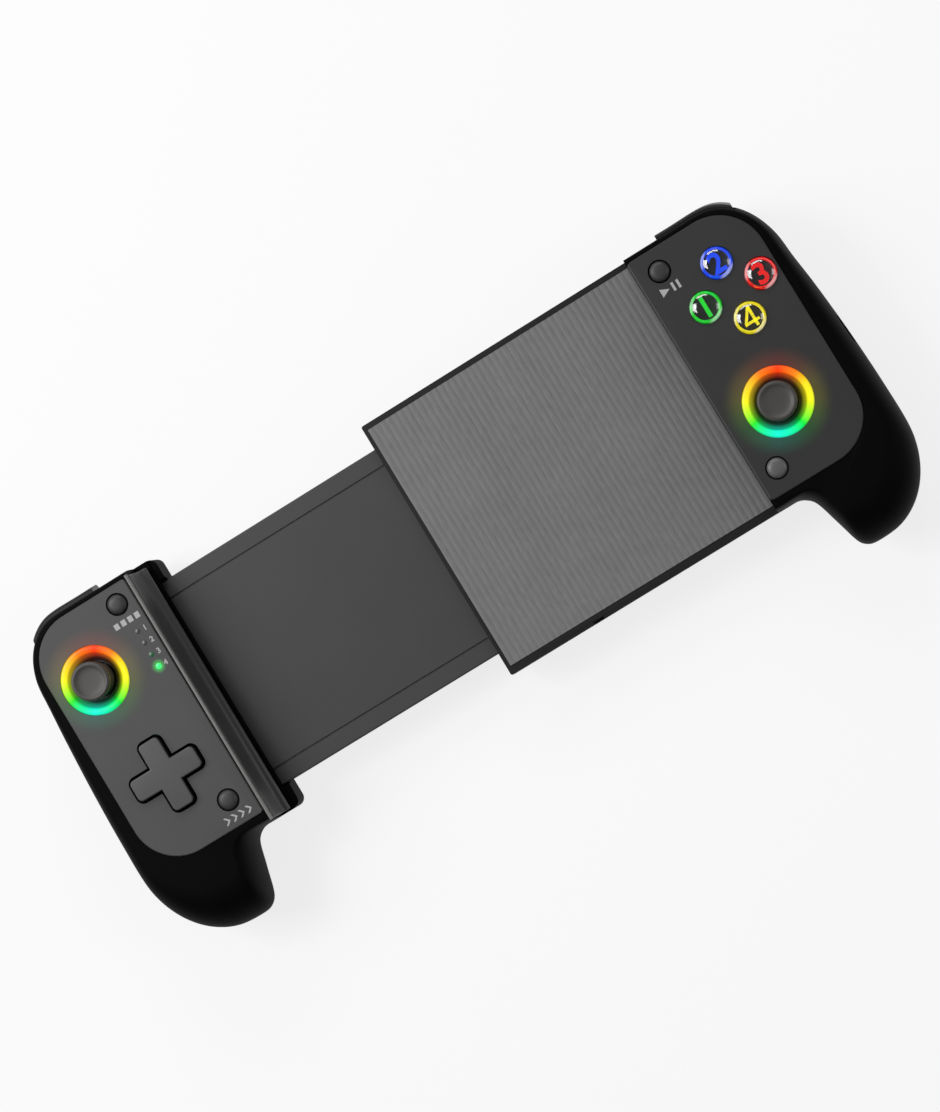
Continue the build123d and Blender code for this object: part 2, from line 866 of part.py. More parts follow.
def dome_sheet(left):
    top = board_top_z + sheet_thickness
    high_x = jaw_x + sheet_edge_in + sheet_width
    low_y = min(y for x, y in menu_places(left)) - sheet_margin
    high_y = max(y for x, y in menu_places(left)) + sheet_margin
    sheet = block(high_x - sheet_width, high_x, low_y, high_y, board_top_z, top)
    for x, y in dome_places(left):
        sheet += upright(x, y, sheet_margin, board_top_z, top)
        sheet += block(high_x - sheet_width, x, y - dome_r, y + dome_r, board_top_z, top)
    for x, y in dome_places(left):
        cone = Cone(dome_r, dome_top_r, dome_rise - sheet_thickness, align=(Align.CENTER, Align.CENTER, Align.MIN))
        sheet += Pos(x, y, top) * cone
    for x, y in dome_places(left):
        space = Cone(
            dome_r - dome_wall, dome_top_r - dome_wall, dome_rise - sheet_thickness - dome_wall,
            align=(Align.CENTER, Align.CENTER, Align.MIN),
        )
        sheet -= Pos(x, y, top) * space
        sheet -= upright(x, y, dome_r - dome_wall, 0, top)
    for x, y in post_places():
        sheet -= upright(x, y, post_r + gap, 0, face_z)
    for x, y in screw_places():
        sheet -= upright(x, y, boss_r + gap, 0, face_z)
    if left:
        sheet -= upright(cover_x + dpad_in, dpad_y, pivot_post_r + gap, 0, face_z)
        lamp_x = cover_x + lamp_in
        sheet -= block(
            lamp_x - lamp_bar, lamp_x + lamp_bar, lamp_y - lamp_bar - gap,
            lamp_y + 3 * lamp_pitch + lamp_bar + gap, 0, face_z,
        )
    return handed(sheet, left)


def circuit_board(left):
    x0 = jaw_x + board_in
    x1 = jaw_x + board_outer_in
    board = block(x0, x1, board_low, board_high, board_z, board_top_z)
    board += block(x0, x0 + board_tab_width, board_high, board_tab_top, board_z, board_top_z)
    room = section(inset(outline_at(board_z), wall + gap), 0)
    board &= extrude(room, face_z)
    if not left:
        board += block(x1, jaw_x + port_board_in, port_y - port_board_half, port_y + port_board_half, board_z, board_top_z)
    for x, y in post_places():
        board -= upright(x, y, post_tip_r + fit_gap, 0, face_z)
    for x, y in screw_places():
        board -= upright(x, y, boss_r + gap, 0, face_z)
    cx = jaw_x + chip_in
    half = chip_side / 2
    board += block(cx - half, cx + half, chip_y - half, chip_y + half, board_z - chip_height, board_z)
    if left:
        px = cover_x + dpad_in
        puck_low = roof_underside_z - gap - dpad_flange_drop + dpad_recess_h - rocker_gap - rocker_h
        board += upright(px, dpad_y, pivot_post_r, board_top_z, puck_low - gap)
    return handed(board, left)


# four light guides on one bar that stands on the left board
def light_guides():
    x = cover_x + lamp_in
    half = lamp_bar / 2
    bar_top = board_top_z + lamp_bar_h
    guides = block(x - half, x + half, lamp_y - lamp_bar, lamp_y + 3 * lamp_pitch + lamp_bar, board_top_z, bar_top)
    for lx, ly in lamp_places():
        guides += upright(lx, ly, lamp_r, bar_top - half, face_z)
    return handed(guides, True)


def charging_port():
    z = board_top_z + port_height / 2
    start = jaw_x + port_end_in - port_depth
    outer = Pos(start, port_y, z) * extrude(Plane.YZ * SlotOverall(port_width, port_height), port_depth)
    inner_plan = Plane.YZ * SlotOverall(port_width - 2 * port_wall, port_height - 2 * port_wall)
    port = outer - Pos(start + port_wall, port_y, z) * extrude(inner_plan, port_depth)
    tongue = port_width / 2 - port_height / 2
    port += block(start, start + port_depth - port_wall, port_y - tongue, port_y + tongue, z - port_tongue / 2, z + port_tongue / 2)
    return port


# shoulder button in front: a strip that follows the top edge and turns on a post
def bumper_body(depth, low, high):
    round_h = bumper_proud / 2
    levels = (
        (low, bumper_low_share), (low + round_h, 1), ((low + high) / 2, 1),
        (high - round_h, bumper_upper_share), (high, bumper_high_share),
    )
    faces = [section(inset(outline_at(z), -depth * share), z) for z, share in levels]
    return loft(faces)


def bumper(left):
    x0 = jaw_x + bumper_start_in
    x1 = jaw_x + bumper_end_in
    strip = Pos(-bumper_taper, 0, 0) * bumper_body(bumper_proud, bumper_low_z, bumper_high_z)
    strip -= front_body(bumper_depth, rim_z)
    low_y = bumper_pivot_y - bumper_arm_wall + bumper_travel_gap
    strip &= block(x0, x1, low_y, waist_top + overrun, bumper_low_z, bumper_high_z)
    px = jaw_x + bumper_pivot_in
    arm_r = bumper_post_r + bumper_arm_wall
    top = roof_underside_z - gap
    arm = upright(px, bumper_pivot_y, arm_r, bumper_low_z, top)
    arm += block(px - arm_r, px + arm_r, bumper_pivot_y, waist_top - bumper_depth / 2, bumper_low_z, top)
    strip += arm
    strip -= upright(px, bumper_pivot_y, bumper_post_r + fit_gap, 0, face_z)
    return handed(strip, left)


# trigger behind it: a curved blade on a pin
def trigger(left):
    x0 = jaw_x + trigger_start_in
    x1 = jaw_x + trigger_end_in
    height = trigger_top_z - trigger_tip_z
    drop = trigger_outer_y - trigger_tip_y
    outer_share = ((0, 1), (-0.06, 0.76), (0.14, 0.42), (0.5, 0.16), (1, 0))
    outer = [(trigger_outer_y - drop * a, trigger_tip_z + height * b) for a, b in outer_share]
    inner_share = ((1.0, 0.1), (0.62, 0.3), (0.46, 0.5), (0.42, 0.72))
    inner_y = trigger_outer_y - trigger_thickness * trigger_inner_share
    inner = [(inner_y - drop * a, trigger_tip_z + height * b) for a, b in inner_share]
    top_in = (trigger_outer_y - trigger_thickness, trigger_top_z)
    edges = [
        Spline(*[(0, y, z) for y, z in outer]),
        Line((0, *outer[-1]), (0, *inner[0])),
        Spline(*[(0, y, z) for y, z in inner]),
        Line((0, *inner[-1]), (0, *top_in)),
        Line((0, *top_in), (0, *outer[0])),
    ]
    profile = make_face(Wire(edges))
    blade = Pos(x0, 0, 0) * extrude(profile, amount=x1 - x0, dir=(1, 0, 0))
    boss_x = x0 + trigger_boss_start
    blade += along_x(trigger_boss_r, boss_x, x1, trigger_pin_y, trigger_pin_z)
    web_y = trigger_outer_y - trigger_thickness / 2
    blade += block(boss_x, x1, trigger_pin_y, web_y, trigger_pin_z - trigger_pin_r, trigger_pin_z + trigger_boss_r)
    blade -= along_x(trigger_pin_r + fit_gap, x0 - overrun, x1 + overrun, trigger_pin_y, trigger_pin_z)
    return handed(blade, left)


def trigger_pin(left):
    start = jaw_x + trigger_start_in - ear_thickness - 2 * gap
    end = jaw_x + trigger_end_in + ear_thickness + 2 * gap
    return handed(along_x(trigger_pin_r, start, end, trigger_pin_y, trigger_pin_z), left)


def trigger_spring(left):
    coil = Helix(spring_pitch, spring_pitch * spring_turns, spring_coil_r, center=(0, 0, 0), direction=(1, 0, 0))
    wire = sweep(Plane(coil @ 0, z_dir=coil % 0) * Circle(spring_wire_r), path=coil, is_frenet=True)
    for point, way in ((coil @ 0, (coil % 0) * -1), (coil @ 1, coil % 1)):
        root = point - way * spring_wire_r
        wire += Plane(root, z_dir=way) * Cylinder(
            spring_wire_r, spring_leg, align=(Align.CENTER, Align.CENTER, Align.MIN)
        )
    start = jaw_x + trigger_start_in + spring_wire_r
    return handed(Pos(start, trigger_pin_y, trigger_pin_z) * wire, left)


# eccentric motor in the grip
def motor(left):
    x = jaw_x + motor_in
    end = motor_y + motor_length / 2
    body = along_y(motor_r, motor_y - motor_length / 2, end, x, motor_z)
    body += along_y(motor_shaft_r, end - gap, end + gap + weight_length, x, motor_z)
    weight = along_y(weight_r, end + gap, end + gap + weight_length, x, motor_z)
    weight -= block(x - motor_r, x + motor_r, end, end + 2 * weight_length, motor_z + motor_shaft_r, motor_z + motor_r)
    return handed(body + weight, left)


def battery():
    x = jaw_x + battery_in
    cell = block(x, x + battery_width, battery_low, battery_low + battery_length, battery_z, battery_z + battery_height)
    return fillet(cell.edges().filter_by(Axis.Y), battery_edge)


# jaw strips: a sloping one on the left, a flat one on the right
def jaw_pad(left):
    low = waist_web + jaw_pad_margin + seat_gap
    high = rim_top - jaw_pad_margin - seat_gap
    z0 = jaw_pad_low_z + seat_gap
    z1 = jaw_pad_high_z - seat_gap
    foot = jaw_pad_foot if left else 0
    head = jaw_pad_head if left else 0
    back = jaw_x + jaw_pad_seat
    profile = Polyline((back, low, z0), (jaw_x - foot, low, z0), (jaw_x - head, low, z1), (back, low, z1), close=True)
    strip = extrude(make_face(profile), amount=high - low, dir=(0, 1, 0))
    return handed(strip, left)


# sliding plate, fixed in the left half
def slide_plate():
    root = -(jaw_x + plate_root_in)
    low = phone_axis_y - plate_half_width
    high = phone_axis_y + plate_half_width
    plate = block(root, plate_end_x, low, high, plate_underside_z, plate_top_z)
    plate = chamfer(plate.edges().filter_by(Axis.X), plate_edge)
    for side in (-1, 1):
        y = phone_axis_y + side * plate_groove_y
        half = plate_groove_width / 2
        plate -= block(root - overrun, plate_end_x + overrun, y - half, y + half, plate_top_z - plate_groove_depth, face_z)
        cy = phone_axis_y + side * channel_y
        half = channel_width / 2
        ceiling = plate_underside_z + channel_height
        plate -= block(channel_start_x, plate_end_x + overrun, cy - half, cy + half, 0, ceiling)
        plate += upright(pull_start_x, cy, peg_r, ceiling - peg_height, ceiling)
    half = cable_channel_half
    plate -= block(
        root - overrun, plate_end_x + overrun, phone_axis_y - half, phone_axis_y + half,
        0, plate_underside_z + cable_channel_h,
    )
    for x, y in plate_screw_places():
        plate -= upright(-x, y, screw_r + screw_hole_gap, 0, face_z)
    return plate


def plate_lid():
    start = -(jaw_x - cheek_in)
    return block(
        start, plate_end_x - lid_setback, phone_axis_y - plate_half_width + lid_margin,
        phone_axis_y + plate_half_width - lid_margin, plate_underside_z - lid_thickness, plate_underside_z,
    )


def plate_screws():
    solids = []
    for x, y in plate_screw_places():
        head = upright(-x, y, screw_head_r, plate_top_z, plate_top_z + screw_head_h)
        solids.append(head + upright(-x, y, screw_r, plate_boss_low_z + wall + gap, plate_top_z))
    return group(solids)


# tray with its deck, pad and bottom
def tray_frame():
    low = phone_axis_y - tray_half_width
    high = phone_axis_y + tray_half_width
    floor_z = tray_bottom_z + tray_floor
    frame = block(tray_end_x, jaw_x, low, high, floor_z, tray_rim_z)
    frame = chamfer(frame.edges().group_by(Axis.X)[0].filter_by(Axis.Z), plate_edge)
    inner_low = phone_axis_y - plate_half_width - rail_thickness - 2 * gap
    inner_high = phone_axis_y + plate_half_width + rail_thickness + 2 * gap
    frame -= block(tray_end_x - overrun, jaw_x + overrun, inner_low, inner_high, 0, tray_deck_z)
    for y0, y1 in ((low + tray_wall, inner_low - tray_wall / 2), (inner_high + tray_wall / 2, high - tray_wall)):
        bay = block(tray_end_x + tray_wall, jaw_x - tray_wall, y0, y1, 0, tray_deck_z)
        pitch = (jaw_x - tray_end_x) / tray_rib_count
        for i in range(1, tray_rib_count):
            x = tray_end_x + i * pitch
            bay -= block(x - tray_wall / 2, x + tray_wall / 2, y0, y1, 0, tray_deck_z)
        for x, y in tray_screw_places():
            bay -= upright(x, y, boss_r, 0, tray_deck_z)
        frame -= bay
    frame -= block(
        tray_end_x + pad_end_rim - seat_gap, jaw_x + overrun, low + pad_low_rim - seat_gap, high - pad_top_rim + seat_gap,
        pad_z - pad_thickness, face_z,
    )
    frame += block(
        jaw_x, jaw_x + tongue_in, phone_axis_y - tongue_half_width, phone_axis_y + tongue_half_width,
        tray_deck_z, pad_z - pad_thickness,
    )
    frame -= block(
        notch_x - notch_width / 2, notch_x + notch_width / 2, low - overrun, low + notch_depth,
        tray_rim_z - notch_drop, face_z,
    )
    for x, y in tray_screw_places():
        frame -= upright(x, y, screw_r + fit_gap, 0, tray_deck_z)
    return frame


def tray_screw_places():
    near = tray_end_x + tray_screw_setback
    far = jaw_x - tray_screw_setback
    return [(x, phone_axis_y + side * tray_screw_y) for x in (near, (near + far) / 2, far) for side in (-1, 1)]


def tray_bottom():
    low = phone_axis_y - tray_half_width
    high = phone_axis_y + tray_half_width
    top = tray_bottom_z + tray_floor
    lid = block(tray_end_x, jaw_x, low, high, tray_bottom_z, top)
    lid = chamfer(lid.edges().group_by(Axis.Z)[0].filter_by(Axis.X), tray_edge_r / 2)
    lid += block(
        jaw_x, jaw_x + tongue_in, phone_axis_y - tongue_half_width, phone_axis_y + tongue_half_width, tray_bottom_z, top,
    )
    for x, y in tray_screw_places():
        lid -= upright(x, y, screw_r + screw_hole_gap, 0, face_z)
        lid -= upright(x, y, screw_head_r + screw_hole_gap, 0, tray_bottom_z + tray_screw_head_h)
    for side in (-1, 1):
        lid += upright(pull_peg_x, phone_axis_y + side * channel_y, peg_r, top, plate_underside_z + peg_height)
    return lid


def tray_screws():
    solids = []
    for x, y in tray_screw_places():
        seat = tray_bottom_z + tray_screw_head_h
        head = upright(x, y, screw_head_r, tray_bottom_z + seat_gap, seat)
        solids.append(head + upright(x, y, screw_r, seat, tray_deck_z - gap))
    return group(solids)


def phone_pad():
    low = phone_axis_y - tray_half_width + pad_low_rim
    high = phone_axis_y + tray_half_width - pad_top_rim
    return block(tray_end_x + pad_end_rim, jaw_x, low, high, pad_z - pad_thickness, pad_z)


def slide_rails():
    solids = []
    floor_z = tray_bottom_z + tray_floor
    for side in (-1, 1):
        inner = phone_axis_y + side * (plate_half_width + gap)
        outer = inner + side * rail_thickness
        lip = inner - side * rail_lip
        web = block(tray_end_x + gap, jaw_x, min(inner, outer), max(inner, outer), floor_z, tray_deck_z)
        foot_top = plate_underside_z - gap
        web += block(tray_end_x + gap, jaw_x, min(lip, outer), max(lip, outer), floor_z, foot_top)
        solids.append(web)
    return group(solids)


# two long pull springs in the plate's channels, as plain tubes, hooked round a peg at each end
def pull_springs():
    start = pull_start_x + pull_leg
    end = pull_peg_x - pull_leg
    z = plate_underside_z + channel_height / 2
    length = end - start
    wire = along_x(pull_coil_r + pull_wire_r, 0, length, 0, 0)
    wire -= along_x(pull_coil_r - pull_wire_r, -overrun, length + overrun, 0, 0)
    hook_x = pull_leg + peg_r + fit_gap + pull_hook_r
    for point, way in ((Vector(0, 0, pull_coil_r), -1), (Vector(length, 0, pull_coil_r), 1)):
        far = point.X + way * hook_x
        wire += Pos(point) * Sphere(pull_hook_r)
        wire += along_x(pull_hook_r, point.X, far, point.Y, point.Z)
        wire += upright(far, point.Y, pull_hook_r, 0, point.Z + pull_hook_r)
    wire = Rot(90, 0, 0) * wire
    return group([Pos(start, phone_axis_y + side * channel_y, z) * wire for side in (-1, 1)])


def ribbon_cable():
    z = plate_underside_z + cable_lift
    end = jaw_x + tongue_in
    return block(
        -(jaw_x + plate_root_in - gap), end, phone_axis_y - cable_half_width, phone_axis_y + cable_half_width,
        z, z + cable_thickness,
    )


def save(name, shape):
    export_step(shape, "parts/" + name + ".step")
    print(name, round(shape.volume, 1), flush=True)


os.makedirs("parts", exist_ok=True)

for side in ("left", "right"):
    left = side == "left"
    save(side + "_front_shell", front_shell(left))
    save(side + "_rear_shell", rear_shell(left))
    save(side + "_face_cover", face_cover(left))
    save(side + "_light_ring", light_ring(left))
    save(side + "_stick_base", stick_base(left))
    save(side + "_stick_yoke", stick_yoke(left))
    save(side + "_stick_ball", stick_ball(left))
    save(side + "_stick_shaft", stick_shaft(left))
    save(side + "_stick_cap", stick_cap(left))
    save(side + "_circuit_board", circuit_board(left))
    save(side + "_dome_sheet", dome_sheet(left))
    save(side + "_jaw_pad", jaw_pad(left))
    save(side + "_bumper", bumper(left))
    save(side + "_trigger", trigger(left))
    save(side + "_trigger_pin", trigger_pin(left))
    save(side + "_trigger_spring", trigger_spring(left))
    save(side + "_vibration_motor", motor(left))
    save(side + "_shell_screws", shell_screws(left))

select_place, turbo_place = menu_places(True)
start_place, home_place = menu_places(False)
save("select_button", menu_button(select_place, True))
save("turbo_button", menu_button(turbo_place, True))
save("start_button", menu_button(start_place, False))
save("home_button", menu_button(home_place, False))
for name, place in action_places().items():
    save(name, push_button(*place, action_r, action_rise, action_edge))
save("dpad_cap", dpad_cap())
save("dpad_rocker", dpad_rocker())
save("player_light_guides", light_guides())
save("slide_plate", slide_plate())
save("plate_lid", plate_lid())
save("plate_screws", plate_screws())
save("tray_frame", tray_frame())
save("tray_bottom", tray_bottom())
save("tray_screws", tray_screws())
save("phone_pad", phone_pad())
save("slide_rails", slide_rails())
save("pull_springs", pull_springs())
save("ribbon_cable", ribbon_cable())
save("battery", battery())
save("charging_port", charging_port())
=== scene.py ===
import bmesh
import bpy
import json
from math import cos, pi, radians, sin
from mathutils import Matrix, Vector


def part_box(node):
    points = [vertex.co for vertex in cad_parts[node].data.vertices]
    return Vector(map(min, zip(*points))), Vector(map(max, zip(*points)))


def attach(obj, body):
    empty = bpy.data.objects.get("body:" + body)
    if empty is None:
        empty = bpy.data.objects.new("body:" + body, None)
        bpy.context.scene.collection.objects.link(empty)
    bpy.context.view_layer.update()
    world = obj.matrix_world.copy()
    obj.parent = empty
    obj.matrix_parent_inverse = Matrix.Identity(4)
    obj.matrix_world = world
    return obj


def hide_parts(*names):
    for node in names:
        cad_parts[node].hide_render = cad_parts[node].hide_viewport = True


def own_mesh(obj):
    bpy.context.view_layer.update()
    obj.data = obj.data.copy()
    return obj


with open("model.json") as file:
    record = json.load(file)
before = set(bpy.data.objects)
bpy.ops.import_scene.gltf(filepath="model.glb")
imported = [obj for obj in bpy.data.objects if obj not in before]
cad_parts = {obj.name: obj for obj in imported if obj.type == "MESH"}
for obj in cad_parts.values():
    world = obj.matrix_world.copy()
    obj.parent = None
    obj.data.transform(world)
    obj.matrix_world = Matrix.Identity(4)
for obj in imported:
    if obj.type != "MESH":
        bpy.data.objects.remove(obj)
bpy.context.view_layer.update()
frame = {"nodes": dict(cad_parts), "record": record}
scene = bpy.context.scene
mm = 0.001

# Camera.
# A long lens a metre above the face, leaning a little towards the half with the
# round buttons and rolled, so that the open controller climbs to the right.
film_width = 36.0
focal_pixels = 3420.0
photo_pixels = 940.0
lean_right = radians(7.1)
lean_down = radians(2.8)
roll = radians(31.27)
back = Vector((sin(lean_right), -sin(lean_down) * cos(lean_right), cos(lean_down) * cos(lean_right))).normalized()
level = Vector((0, 1, 0)).cross(back).normalized()
upright = back.cross(level)
right = cos(roll) * level - sin(roll) * upright
above = sin(roll) * level + cos(roll) * upright
camera_data = bpy.data.cameras.new("camera")
camera_data.sensor_fit = "HORIZONTAL"
camera_data.sensor_width = film_width
camera_data.lens = film_width * focal_pixels / photo_pixels
camera_data.clip_start = 0.01
camera = bpy.data.objects.new("camera", camera_data)
scene.collection.objects.link(camera)
aim = Vector((2.5, 3.12, 20.0)) * mm
camera.matrix_world = Matrix.Translation(aim + back) @ Matrix((right, above, back)).transposed().to_4x4()
scene.camera = camera
scene.view_settings.view_transform = "Standard"


# Floor and lights.
# A white table in a white room, a broad window to the left, a softer one to the right.
def rgb(code):
    """sRGB hex to the linear colour that a shader takes"""
    parts = [int(code[i:i + 2], 16) / 255 for i in (1, 3, 5)]
    return tuple(c / 12.92 if c <= 0.04045 else ((c + 0.055) / 1.055) ** 2.4 for c in parts) + (1.0,)


def add(tree, kind, inputs=None, **settings):
    """adds a node with its settings, and its inputs as values or links"""
    made = tree.nodes.new(kind)
    for key, value in settings.items():
        setattr(made, key, value)
    for key, value in (inputs or {}).items():
        if isinstance(value, bpy.types.NodeSocket):
            tree.links.new(value, made.inputs[key])
        else:
            made.inputs[key].default_value = value
    return made


def first_of(tree, kind):
    """the first node of a type in a tree"""
    return next(node for node in tree.nodes if node.type == kind)


def new_material(name):
    """an empty material and its tree"""
    material = bpy.data.materials.new(name)
    material.use_nodes = True
    material.node_tree.nodes.clear()
    return material, material.node_tree


def show(tree, shader):
    add(tree, "ShaderNodeOutputMaterial", {"Surface": shader})


def pale_share(tree, share):
    """how much of the plain white a ray takes, for eye, mirror and glass rays alike"""
    path = add(tree, "ShaderNodeLightPath")
    eye, mirror, glass = (path.outputs["Is %s Ray" % kind] for kind in ("Camera", "Glossy", "Transmission"))
    first = add(tree, "ShaderNodeMath", {0: eye, 1: mirror}, operation="MAXIMUM")
    both = add(tree, "ShaderNodeMath", {0: first.outputs[0], 1: glass}, operation="MAXIMUM")
    return add(tree, "ShaderNodeMath", {0: both.outputs[0], 1: share}, operation="MULTIPLY").outputs[0]


floor_gap = 0.3 * mm
floor_paint, tree = new_material("matt_white_table_paint")
chalk = add(tree, "ShaderNodeBsdfDiffuse", {"Color": rgb("#E4E4E4")})
white = add(tree, "ShaderNodeEmission", {"Color": (1, 1, 1, 1), "Strength": 1.0})
share = pale_share(tree, 0.8)
show(tree, add(tree, "ShaderNodeMixShader", {0: share, 1: chalk.outputs[0], 2: white.outputs[0]}).outputs[0])
bm = bmesh.new()
bmesh.ops.create_grid(bm, x_segments=1, y_segments=1, size=3.0)
bmesh.ops.translate(bm, verts=bm.verts, vec=(0, 0, -floor_gap))
mesh = bpy.data.meshes.new("floor")
bm.to_mesh(mesh)
bm.free()
floor = bpy.data.objects.new("floor", mesh)
mesh.materials.append(floor_paint)
scene.collection.objects.link(floor)

world = bpy.data.worlds.new("room")
world.use_nodes = True
scene.world = world
tree = world.node_tree
tree.nodes.clear()
walls = add(tree, "ShaderNodeBackground", {"Color": rgb("#FFFFFF"), "Strength": 0.16})
bright = add(tree, "ShaderNodeBackground", {"Color": (1, 1, 1, 1), "Strength": 1.0})
path = add(tree, "ShaderNodeLightPath")
room = add(tree, "ShaderNodeMixShader", {0: path.outputs["Is Camera Ray"], 1: walls.outputs[0], 2: bright.outputs[0]})
add(tree, "ShaderNodeOutputWorld", {"Surface": room.outputs[0]})


def soft_light(name, place, aim, width, height, watts):
    lamp = bpy.data.lights.new(name, "AREA")
    lamp.shape = "RECTANGLE"
    lamp.size = width
    lamp.size_y = height
    lamp.energy = watts
    piece = bpy.data.objects.new(name, lamp)
    scene.collection.objects.link(piece)
    way = (Vector(aim) - Vector(place)).normalized()
    piece.matrix_world = Matrix.Translation(place) @ way.to_track_quat("-Z", "Y").to_matrix().to_4x4()


soft_light("window_left", (-0.65, 0.45, 0.8), (-0.05, 0, 0.02), 0.6, 0.8, 9.0)
soft_light("window_top", (0.25, 1.0, 0.7), (0.05, 0, 0.02), 0.9, 0.4, 6.0)
soft_light("window_gleam", (-0.42, 0.42, 0.85), (0, 0, 0.03), 0.14, 0.14, 1.2)
soft_light("window_right", (0.9, -0.3, 0.45), (0.05, 0, 0.02), 0.4, 0.8, 2.2)


# Grip shells.
# Two injection-moulded ABS halves to each grip, screwed together from the back. The
# mould is finely spark-eroded, which gives black plastic with a soft satin sheen.
def moulded(name, code, roughness, grain, depth, tint=0.12, gloss=0.5):
    """moulded plastic: even colour, slight unevenness of sheen, and a grain of the given size in mm"""
    material, tree = new_material(name)
    where = add(tree, "ShaderNodeTexCoord").outputs["Object"]
    cloud = add(tree, "ShaderNodeTexNoise", {"Vector": where, "Scale": 60.0, "Detail": 3.0})
    fine = add(tree, "ShaderNodeTexNoise", {"Vector": where, "Scale": 1 / (grain * mm), "Detail": 2.0})
    dark = tuple(c * (1 - tint) for c in rgb(code)[:3]) + (1.0,)
    pale = tuple(c * (1 + tint) for c in rgb(code)[:3]) + (1.0,)
    colour = add(tree, "ShaderNodeMix", {0: cloud.outputs["Fac"], 6: dark, 7: pale}, data_type="RGBA")
    sheen = add(tree, "ShaderNodeMapRange", {0: cloud.outputs["Fac"], 3: roughness - 0.04, 4: roughness + 0.04})
    bump = add(tree, "ShaderNodeBump", {"Height": fine.outputs["Fac"], "Strength": 0.35, "Distance": depth * mm})
    skin = add(tree, "ShaderNodeBsdfPrincipled", {
        "Base Color": colour.outputs[2], "Roughness": sheen.outputs[0], "Normal": bump.outputs[0],
        "IOR": 1.5, "Specular IOR Level": gloss,
    })
    show(tree, skin.outputs[0])
    return material


def piece_of(bm, name, material, body, smooth=35):
    """turns a bmesh into a piece that rides on a body"""
    mesh = bpy.data.meshes.new(name)
    bm.to_mesh(mesh)
    bm.free()
    mesh.shade_smooth()
    mesh.set_sharp_from_angle(angle=radians(smooth))
    mesh.materials.append(material)
    piece = bpy.data.objects.new(name, mesh)
    scene.collection.objects.link(piece)
    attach(piece, body)
    return piece


def body_of(node):
    return next(body for body, nodes in frame["record"]["behaviour"]["bodies"].items() if node in nodes)


def eased(node, material, edge, segments=2, angle=32):
    """the node's own form with its flat faces joined and its edges eased by a radius in mm"""
    bm = bmesh.new()
    bm.from_mesh(frame["nodes"][node].data)
    bmesh.ops.remove_doubles(bm, verts=bm.verts, dist=0.002 * mm)
    bmesh.ops.dissolve_limit(bm, angle_limit=radians(0.5), verts=bm.verts, edges=bm.edges)
    piece = piece_of(bm, node + "_skin", material, body_of(node), angle)
    if edge:
        easing = piece.modifiers.new("eased_edges", "BEVEL")
        easing.limit_method = "ANGLE"
        easing.angle_limit = radians(angle)
        easing.width = edge * mm
        easing.segments = segments
        easing.harden_normals = True
        easing.use_clamp_overlap = True
    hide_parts(node)
    return piece


def dress(nodes, material):
    """gives carried-over nodes their real material"""
    for node in nodes:
        mesh = frame["nodes"][node].data
        mesh.materials.clear()
        mesh.materials.append(material)


black_abs = moulded("black_abs_fine_spark_eroded", "#050506", 0.6, 0.25, 0.02, gloss=0.04)
for side in ("left", "right"):
    eased(side + "_front_shell", black_abs, 0.35, 3)
    eased(side + "_rear_shell", black_abs, 0.35, 3)


# Face covers.
# A thin plate of dark grey polycarbonate is glued into a recess of each front shell. It is
# matt from a rougher mould. A faint halo of the lit ring's colours, and a green one round the lit lamp, is painted
# onto it as glow.
stick_places = {"left": (-109.9, 29.2), "right": (102.7, -5.9)}
ring_turn = radians(59)
ring_tones = (
    (0.0, "#16F4D2"), (0.06, "#12F0B0"), (0.14, "#10E83C"), (0.2, "#A8F828"), (0.26, "#F2F420"),
    (0.34, "#FBDF1E"), (0.41, "#FA8214"), (0.5, "#FF3C0A"), (0.59, "#FA7812"), (0.67, "#FBC824"),
    (0.75, "#F4EE22"), (0.81, "#B4F62A"), (0.87, "#2AE42C"), (0.94, "#12EFA4"), (1.0, "#16F4D2"),
)


def ring_light(tree, where, centre):
    """the colours that run round a ring, and the distance from its centre"""
    x, y = centre
    turned = add(tree, "ShaderNodeMapping", {
        "Vector": where, "Location": (x * mm, y * mm, 0), "Rotation": (0, 0, ring_turn),
    }, vector_type="TEXTURE")
    sweep = add(tree, "ShaderNodeTexGradient", {"Vector": turned.outputs[0]}, gradient_type="RADIAL")
    tones = add(tree, "ShaderNodeValToRGB", {"Fac": sweep.outputs["Fac"]})
    ramp = tones.color_ramp
    while len(ramp.elements) < len(ring_tones):
        ramp.elements.new(0.5)
    for element, (place, code) in zip(ramp.elements, ring_tones):
        element.position = place
        element.color = rgb(code)
    flat = add(tree, "ShaderNodeVectorMath", {0: turned.outputs[0], 1: (1, 1, 0)}, operation="MULTIPLY")
    away = add(tree, "ShaderNodeVectorMath", {0: flat.outputs[0]}, operation="LENGTH")
    return tones.outputs["Color"], away.outputs["Value"]


